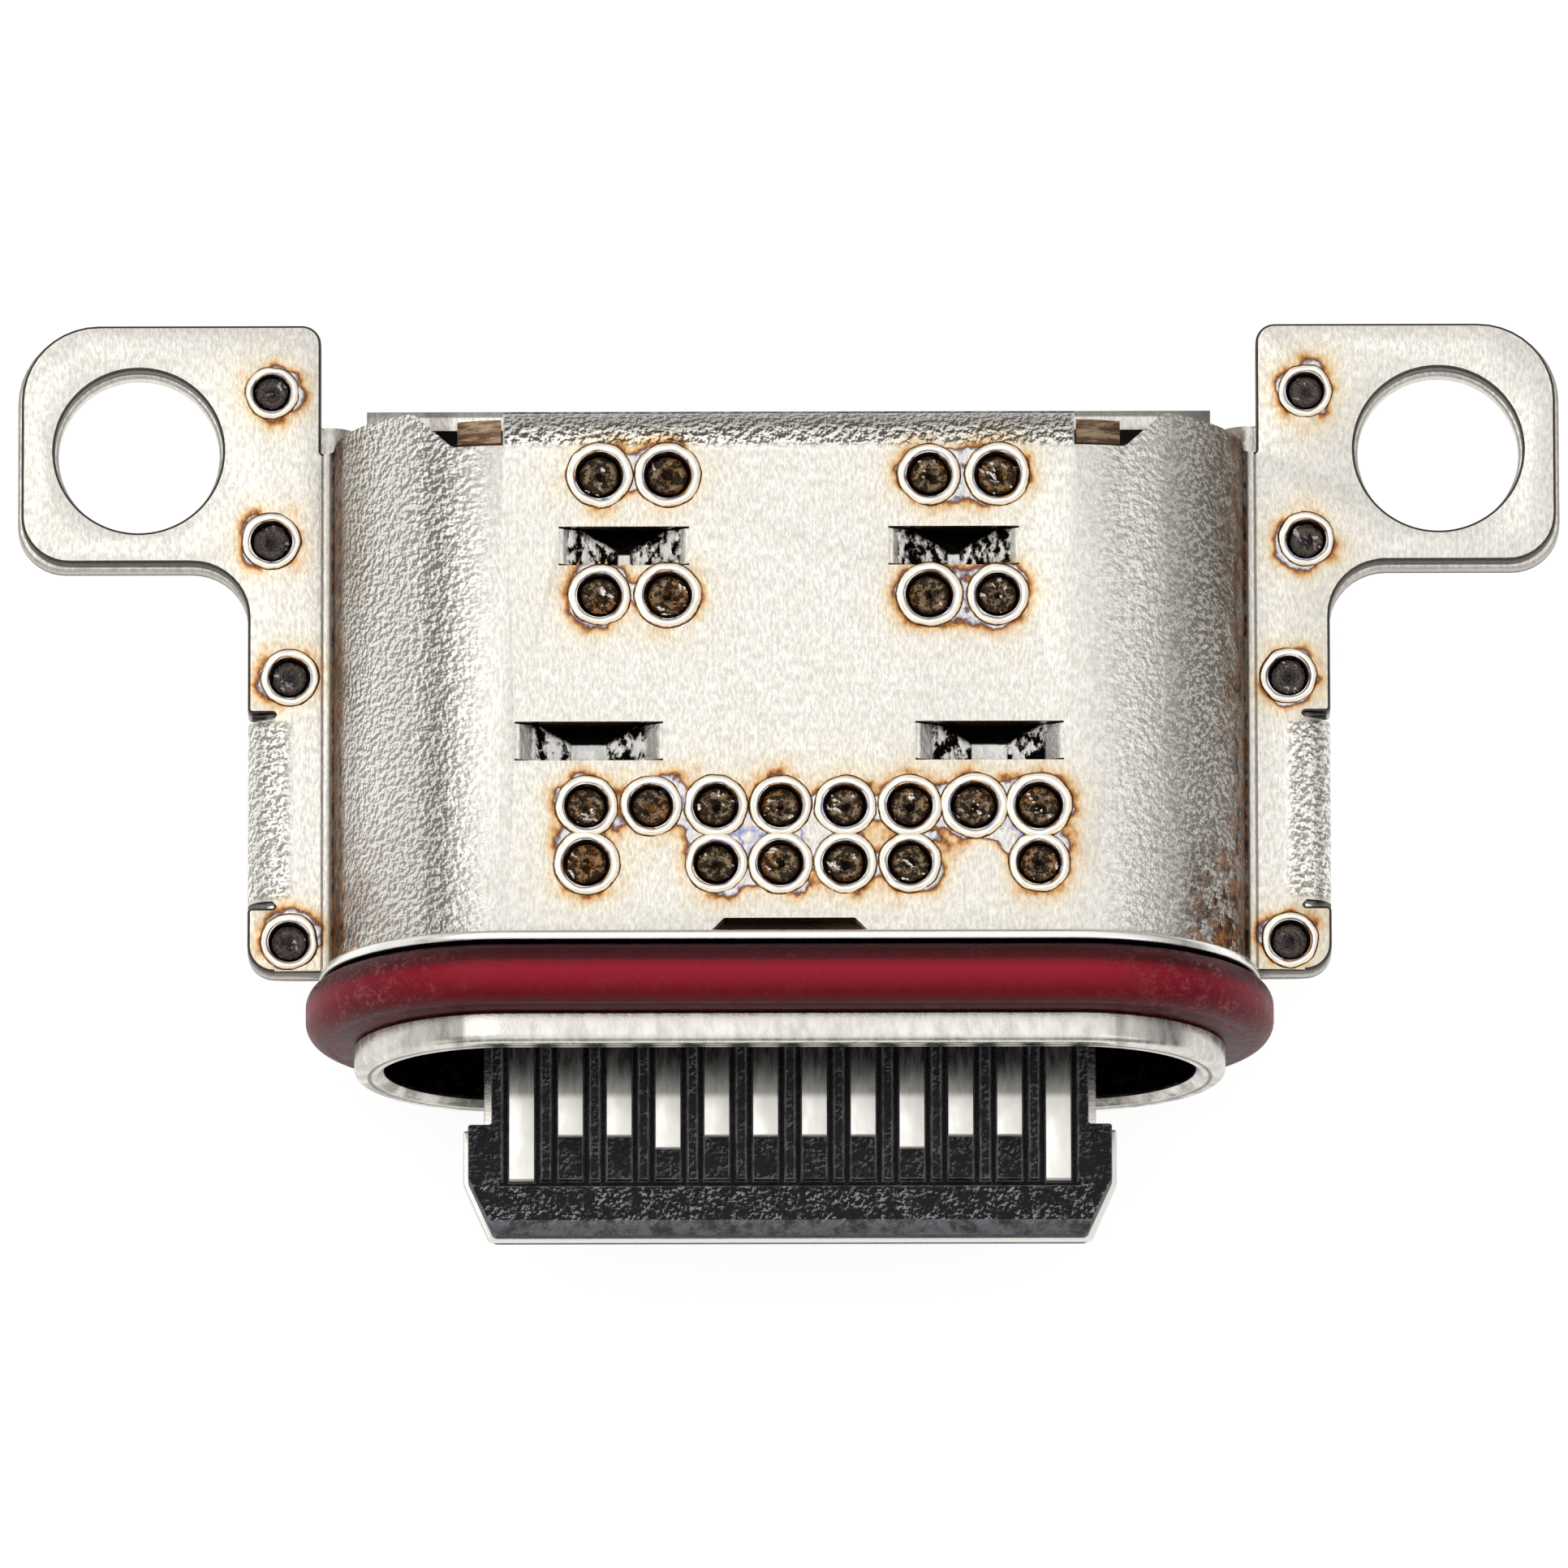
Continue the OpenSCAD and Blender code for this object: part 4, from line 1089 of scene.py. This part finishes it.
lower_back = [(wall_half + sheet_gap, lower_end, 0.0), (wall_half + sheet_gap, trough_end, 0.0)]
lower_outline = rounded(mirrored(flange_outline(lower_extra, lower_end, lower_back)))
lower_bracket = prism("lower_sheet", sheet_section(-1), bracket_y, ear_rear + 1, along)
combine(lower_bracket, [prism("plan", lower_outline, -through, through, lying)], "INTERSECT")
cutters = []
for side in (-1, 1):
    left, right = sorted((side * (flange_half - leg_bend - sheet_gap), side * far))
    cutters.append(block((left, leg_y - leg_relief, -through), (right, leg_end + leg_relief, through)))
for y in (front_row_y - window_lead, rear_row_y - window_lead):
    cutters.append(block((-floor_half, y, -through), (floor_half, y + window_len, 0)))
combine(lower_bracket, cutters, "DIFFERENCE")
floor_end = rear_row_y - window_lead + window_len
fold_y = wall_y - wall_fold
fold_z = -bracket_r + wall_fold
wall_side = (
    [(floor_end, -arch_r), (fold_y, -arch_r)]
    + arc(fold_y, fold_z, wall_fold + sheet_t, -90, 0, 10)
    + [(wall_y + sheet_t, 0), (wall_y, 0)]
    + arc(fold_y, fold_z, wall_fold, 0, -90, 10)
    + [(floor_end, -bracket_r)]
)
wall_foot = prism("wall_foot", wall_side, -flap_half, flap_half, across)
wall_shape = (
    [(-wall_half, wall_top), (-wall_half, wall_low)]
    + arc(-spine, 0, bracket_r, 195, 270, 16) + arc(spine, 0, bracket_r, 270, 345, 16)
    + [(wall_half, wall_low), (wall_half, wall_top)]
)
# The wall ends above its fold and within its width, and corners that fall together are dropped
outline = []
for x, z in wall_shape:
    corner = (max(-wall_half, min(wall_half, x)), max(fold_z, z))
    if not outline or math.dist(corner, outline[-1]) > 1e-4:
        outline.append(corner)
rear_wall = prism("rear_wall", outline, wall_y, wall_y + sheet_t, along)
combine(lower_bracket, [wall_foot, rear_wall], "UNION")
combine(lower_bracket, screw_cutters(lower_hole_r), "DIFFERENCE")
round_edges(lower_bracket, edge_round, rims=(rim_round, on_flange))
smooth_below(lower_bracket)
mark_faces(lower_bracket, "cut", lambda centre, normal: cut_share(centre, normal, 0.0) * 0.4)
put_down(lower_bracket, steel, "bracket_steel", "lower_bracket")

# ---------------------------------------------------------------------------
# Upper bracket: one stamped and folded sheet of the same steel, the arched cover. Lances pressed
# into slots of the shell place it, its legs go down to the board, and a flap closes the rear.

relief_y = cover_end - 0.05
notch_out = flap_half + 0.93
upper_back = [
    (arch_half, relief_y, 0.0), (arch_half, cover_end, 0.05),
    (notch_out, cover_end, 0.04), (notch_out - 0.41, notch_y, 0.12), (flap_half, notch_y, 0.0)
]
# The cover's front edge has a shallow notch in the middle
front_notch = [(0.67, bracket_y + 0.15, 0.04), (0.82, bracket_y, 0.03)]
upper_outline = rounded(mirrored(front_notch + flange_outline(0, relief_y, upper_back)))
upper_bracket = prism("upper_sheet", sheet_section(1), bracket_y, ear_rear + 1, along)
combine(upper_bracket, [prism("plan", upper_outline, -through, through, lying)], "INTERSECT")

flap_low = 0.30
leg_fold = leg_bend - sheet_t
solder_z = -1.90
solder_round = 0.04
lance_slope = 0.54
upper_hole_r = 0.865
flap_fold_z = bracket_r - flap_fold
flap_side = (
    [(notch_y - 0.02, arch_r)]
    + arc(flap_fold_y, flap_fold_z, flap_fold + sheet_t, 90, 0, 16)
    + [(flap_y + sheet_t, flap_low), (flap_y, flap_low)]
    + arc(flap_fold_y, flap_fold_z, flap_fold, 0, 90, 16)
    + [(notch_y - 0.02, bracket_r)]
)
flap = prism("flap", flap_side, -flap_half, flap_half, across)
leg_x = flange_half - leg_bend
leg_fold_z = seam_z - leg_fold
leg_front = (
    [(leg_x - 0.02, seam_z + sheet_t)]
    + arc(leg_x, leg_fold_z, leg_bend, 90, 0, 12)
    + [(flange_half, solder_z + solder_round), (flange_half - solder_round, solder_z)]
    + [(flange_half - sheet_t + solder_round, solder_z), (flange_half - sheet_t, solder_z + solder_round)]
    + arc(leg_x, leg_fold_z, leg_fold, 0, 90, 8)
    + [(leg_x - 0.02, seam_z)]
)
legs = [prism("leg", [(side * x, z) for x, z in leg_front], leg_y, leg_end, along) for side in (-1, 1)]
slots = []
strips = []
for middle, half, y in lances:
    drop = bracket_r - mouth_r
    left = [(-half - 0.03, 0), (-half, 0), (-half + 0.18, -0.09), (-half + lance_slope, -drop)]
    top = left + [(-x, z) for x, z in reversed(left)]
    outline = top + [(x, z - sheet_t) for x, z in reversed(top)]
    for side in (-1, 1):
        corners = (side * middle - half, y, 0), (side * middle + half, y + lance_len, through)
        slots.append(block(*corners))
        placed = [(side * middle + x, arch_r + z) for x, z in outline]
        strips.append(prism("lance", placed, y + 0.02, y + lance_len - 0.02, along))
combine(upper_bracket, slots, "DIFFERENCE")
combine(upper_bracket, [flap, *legs, *strips], "UNION")
combine(upper_bracket, screw_cutters(upper_hole_r), "DIFFERENCE")
round_edges(upper_bracket, edge_round, rims=(rim_round, on_flange))

# Each weld's crater is cut through the sheet's skin, at that weld's own size
crater_r = 0.232
crater_d = 0.11
pick = random.Random(4)
weld_spots = [(x, y, arch_r, pick.uniform(0.98, 1.09)) for x, y in front_welds + rear_welds]
weld_spots += [(x, y, seam_z + sheet_t, pick.uniform(0.86, 0.95)) for x, y in flange_welds]
craters = []
for x, y, level, size in weld_spots:
    ring = arc(x, y, crater_r * size, 0, 360, 40)[:-1]
    craters.append(prism("crater", ring, level - crater_d, level + 0.2, lying))
combine(upper_bracket, craters, "DIFFERENCE")
smooth_below(upper_bracket)
mark_faces(upper_bracket, "cut", lambda centre, normal: cut_share(centre, normal, 0.9))
put_down(upper_bracket, steel, "bracket_steel", "upper_bracket")

# ---------------------------------------------------------------------------
# Welds: thirty laser spots. Each is a rounded bead of melted steel round a dark crater, and the
# beads run into each other where the spots are crowded.


def weld_metal():
    material, shader, place, (x, _, _) = new_material("weld_metal")
    ash = noise(place, 12, 3, 0.7)
    soot = noise(place, 1.6, 2, 0.6)
    reach = attribute(place, "reach") + (ash - 0.5) * 0.09
    colour = reach.ramp(
        (0.00, srgb(10, 8, 7)), (0.09, srgb(30, 23, 19)), (0.19, srgb(110, 92, 72)),
        (0.40, srgb(158, 136, 108)), (0.52, srgb(84, 62, 46)), (0.59, srgb(18, 11, 8)),
        (0.68, srgb(30, 18, 12)), (0.70, srgb(150, 112, 78)), (0.73, srgb(236, 224, 204)),
        (0.77, srgb(255, 254, 250)), (0.84, srgb(255, 254, 250)),
        (0.87, srgb(226, 212, 192)), (0.91, srgb(246, 234, 214)), (0.945, srgb(222, 196, 160)),
        (0.965, srgb(96, 62, 42)), (1.00, srgb(110, 74, 50))
    )
    crater = 1 - reach.between(0.56, 0.66)
    # The flange's craters are greyer than the cover's, and some of those have a golden floor
    ear = x.absolute().between(arch_half + 0.11, arch_half + 0.26)
    golden = soot.between(0.50, 0.64) * crater * (1 - ear)
    colour = (golden * 0.45).blend(colour, srgb(170, 116, 58))
    colour = (crater * (1 - ear) * (1 - ash.between(0.46, 0.56)) * 0.88).blend(colour, srgb(20, 14, 12))
    colour = (crater * ear * 0.75).blend(colour, srgb(58, 58, 64))
    # Painted glints light up the craters, fewer on the flange's
    glint = relief(place, 6, 2, (0.014, 0.016, 0)).between(0.84, 0.90) * noise(place, 5).between(0.50, 0.56)
    glint = glint * crater * ear.between(0, 1, 1.0, 0.4)
    colour = (glint * 0.95).blend(colour, srgb(250, 246, 238))
    rough = crater.between(0.0, 1.0, 0.26, 0.32)
    wire(shader, Base_Color=colour, Metallic=1.0, Roughness=rough)
    wire(shader, Normal=bumped(ash * crater, 1.0, 0.05))
    return material


bead_r = 0.33


def weld_spot(spokes=44):
    """One spot, turned about its middle: (distance from the middle, height above the sheet)."""
    section = [
        (0.0, -0.085), (0.03, -0.080), (0.07, -0.062), (0.12, -0.050), (0.17, -0.047), (0.20, -0.054),
        (0.222, -0.050), (0.232, -0.022), (0.240, 0.004), (0.252, 0.012), (0.275, 0.018),
        (0.300, 0.016), (0.318, 0.009), (0.328, 0.001), (bead_r, -0.012)
    ]
    base = [(0.226, -0.012), (0.226, -0.10), (0.0, -0.10)]
    verts, faces, reach = [], [], []
    for r, z in section + base:
        for k in range(spokes):
            a = 2 * math.pi * k / spokes
            verts.append((r * math.cos(a), r * math.sin(a), z))
            reach.append(r / bead_r)
    for i in range(len(section + base) - 1):
        for k in range(spokes):
            n = (k + 1) % spokes
            faces.append((i * spokes + k, (i + 1) * spokes + k, (i + 1) * spokes + n, i * spokes + n))
    piece = new_piece("weld_spot", verts, faces)
    layer = piece.data.attributes.new("reach", "FLOAT", "POINT")
    layer.data.foreach_set("value", reach)
    with opened(piece) as work:
        bmesh.ops.remove_doubles(work, verts=work.verts, dist=1e-5)
        bmesh.ops.recalc_face_normals(work, faces=work.faces)
        for face in work.faces:
            face.smooth = True
    return piece


def weld_tree():
    """Sets a spot on every point, each turned at random and of its own size, and wobbles the beads."""
    kinds = {"Spot": "Object", "Wobble": "Float", "Seed": "Int", "Finish": "Material"}
    inputs, identifiers = new_tree("welds", kinds)
    points = inputs["Geometry"]
    spot = points.node("GeometryNodeObjectInfo", {}, {"Object": inputs["Spot"]}, output="Geometry")
    whole_turn = {2: 0.0, 3: 2 * math.pi, "Seed": inputs["Seed"]}
    turn = points.node("FunctionNodeRandomValue", {"data_type": "FLOAT"}, whole_turn, output=1)
    spin = points.node("ShaderNodeCombineXYZ", {}, {"Z": turn})
    size = points.node("GeometryNodeInputNamedAttribute", {"data_type": "FLOAT"}, {"Name": "size"})
    scale = points.node("ShaderNodeCombineXYZ", {}, {"X": size, "Y": size, "Z": 1.0})
    copies = {"Points": points, "Instance": spot, "Rotation": spin, "Scale": scale}
    placed = points.node("GeometryNodeInstanceOnPoints", {}, copies)
    real = placed.node("GeometryNodeRealizeInstances", {}, {"Geometry": placed})
    where = real.node("GeometryNodeInputPosition")
    cloud = where.node("ShaderNodeTexNoise", {}, {"Vector": where, "Scale": 5.0, "Detail": 2.0}, output=1)
    centred = cloud.node("ShaderNodeVectorMath", {"operation": "SUBTRACT"}, {0: cloud, 1: (0.5, 0.5, 0.5)})
    shift = {"Vector": centred, "Scale": inputs["Wobble"]}
    shift = centred.node("ShaderNodeVectorMath", {"operation": "SCALE"}, shift)
    moved = real.node("GeometryNodeSetPosition", {}, {"Geometry": real, "Offset": shift})
    send_out(moved, inputs["Finish"])
    return points.tree, identifiers


def spread_welds(name, places, material):
    bead = weld_spot()
    piece = new_piece(name, [spot[:3] for spot in places], [])
    layer = piece.data.attributes.new("size", "FLOAT", "POINT")
    layer.data.foreach_set("value", [spot[3] for spot in places])
    grow(piece, *weld_tree(), {"Spot": bead, "Wobble": 0.045, "Seed": 7, "Finish": material})
    bpy.data.objects.remove(bead)
    return piece


welded = weld_metal()
welds = spread_welds("weld_spots", weld_spots, welded)
put_down(welds, welded, "bracket_steel")

# ---------------------------------------------------------------------------
# Stage: a white floor under the part, soft light from above and a long lens nearly overhead.

view_elevation = 76
view_roll = 0.12
lens = 700
distance = 313.6
aim = Vector((-0.054, 3.105, 0.0))

camera_data = bpy.data.cameras.new("camera")
camera_data.lens = lens
camera_data.clip_start = 0.001
camera_data.clip_end = 20
camera = bpy.data.objects.new("camera", camera_data)
scene.collection.objects.link(camera)
lean = math.radians(view_elevation)
back = Vector((0, -math.cos(lean), math.sin(lean)))
camera.location = (aim + back * distance) * MM
camera.rotation_mode = "QUATERNION"
roll = Matrix.Rotation(math.radians(-view_roll), 3, back)
camera.rotation_quaternion = (roll @ (-back).to_track_quat("-Z", "Y").to_matrix()).to_quaternion()
scene.camera = camera

floor_z = cad_low.z / MM
floor_half_size = 3000
corners = [(-1, -1), (1, -1), (1, 1), (-1, 1)]
floor_corners = [(x * floor_half_size, y * floor_half_size, floor_z) for x, y in corners]
floor = new_piece("floor", floor_corners, [(0, 1, 2, 3)])
floor.data.transform(Matrix.Scale(MM, 4))


def floor_finish():
    """White to the camera and pale in reflections, with a share kept for the shadow."""
    material, shader, place, _ = new_material("floor_white")
    tree = place.tree
    wire(shader, Base_Color=(0.9, 0.9, 0.9, 1), Roughness=0.9)
    glow = tree.nodes.new("ShaderNodeEmission")
    glow.inputs["Strength"].default_value = 1.22
    rays = tree.nodes.new("ShaderNodeLightPath")
    seen = Value(tree, rays.outputs["Is Camera Ray"])
    share = seen * 0.72 + Value(tree, rays.outputs["Is Glossy Ray"]) * 0.70
    mix = tree.nodes.new("ShaderNodeMixShader")
    tree.links.new(share.socket, mix.inputs[0])
    tree.links.new(shader.outputs[0], mix.inputs[1])
    tree.links.new(glow.outputs[0], mix.inputs[2])
    tree.links.new(mix.outputs[0], tree.nodes["Material Output"].inputs["Surface"])
    return material


floor.data.materials.append(floor_finish())

world = bpy.data.worlds.new("studio")
world.use_nodes = True
scene.world = world
sky = world.node_tree
background = sky.nodes["Background"]
direction = Value(sky, sky.nodes.new("ShaderNodeTexCoord").outputs["Generated"])
sideways, _, height = split_up(sky, direction)
leftward = (-sideways).between(0.35, 0.6)
rays = sky.nodes.new("ShaderNodeLightPath")
seen = Value(sky, rays.outputs["Is Camera Ray"])


def grey(level):
    return (level, level, level)


# Pale above and darker towards the horizon; on the left a bright band lies below a dark one
plain = height.ramp(
    (0.0, (0.10, 0.10, 0.102)), (0.22, (0.20, 0.20, 0.202)), (0.5, grey(0.55)), (0.8, grey(0.98)),
    (1.0, grey(1.05))
)
left = height.ramp(
    (0.0, grey(0.70)), (0.35, grey(1.0)), (0.52, grey(0.80)), (0.62, grey(0.28)), (0.73, grey(0.30)),
    (0.85, grey(0.92)), (1.0, grey(1.05))
)
shown = seen.blend(leftward.blend(plain, left), grey(1.0))
sky.links.new(shown.socket, background.inputs["Color"])
background.inputs["Strength"].default_value = 1.0


def soft_light(name, place, size, power):
    data = bpy.data.lights.new(name, "AREA")
    data.shape = "SQUARE"
    data.size = size * MM
    data.energy = power
    lamp = bpy.data.objects.new(name, data)
    lamp.location = Vector(place) * MM
    lamp.rotation_mode = "QUATERNION"
    lamp.rotation_quaternion = (Vector((0, 3, 0)) * MM - lamp.location).to_track_quat("-Z", "Y")
    scene.collection.objects.link(lamp)


soft_light("key", (-60, 40, 150), 90, 0.022)
soft_light("fill", (90, -60, 110), 60, 0.008)

scene.view_settings.view_transform = "Standard"
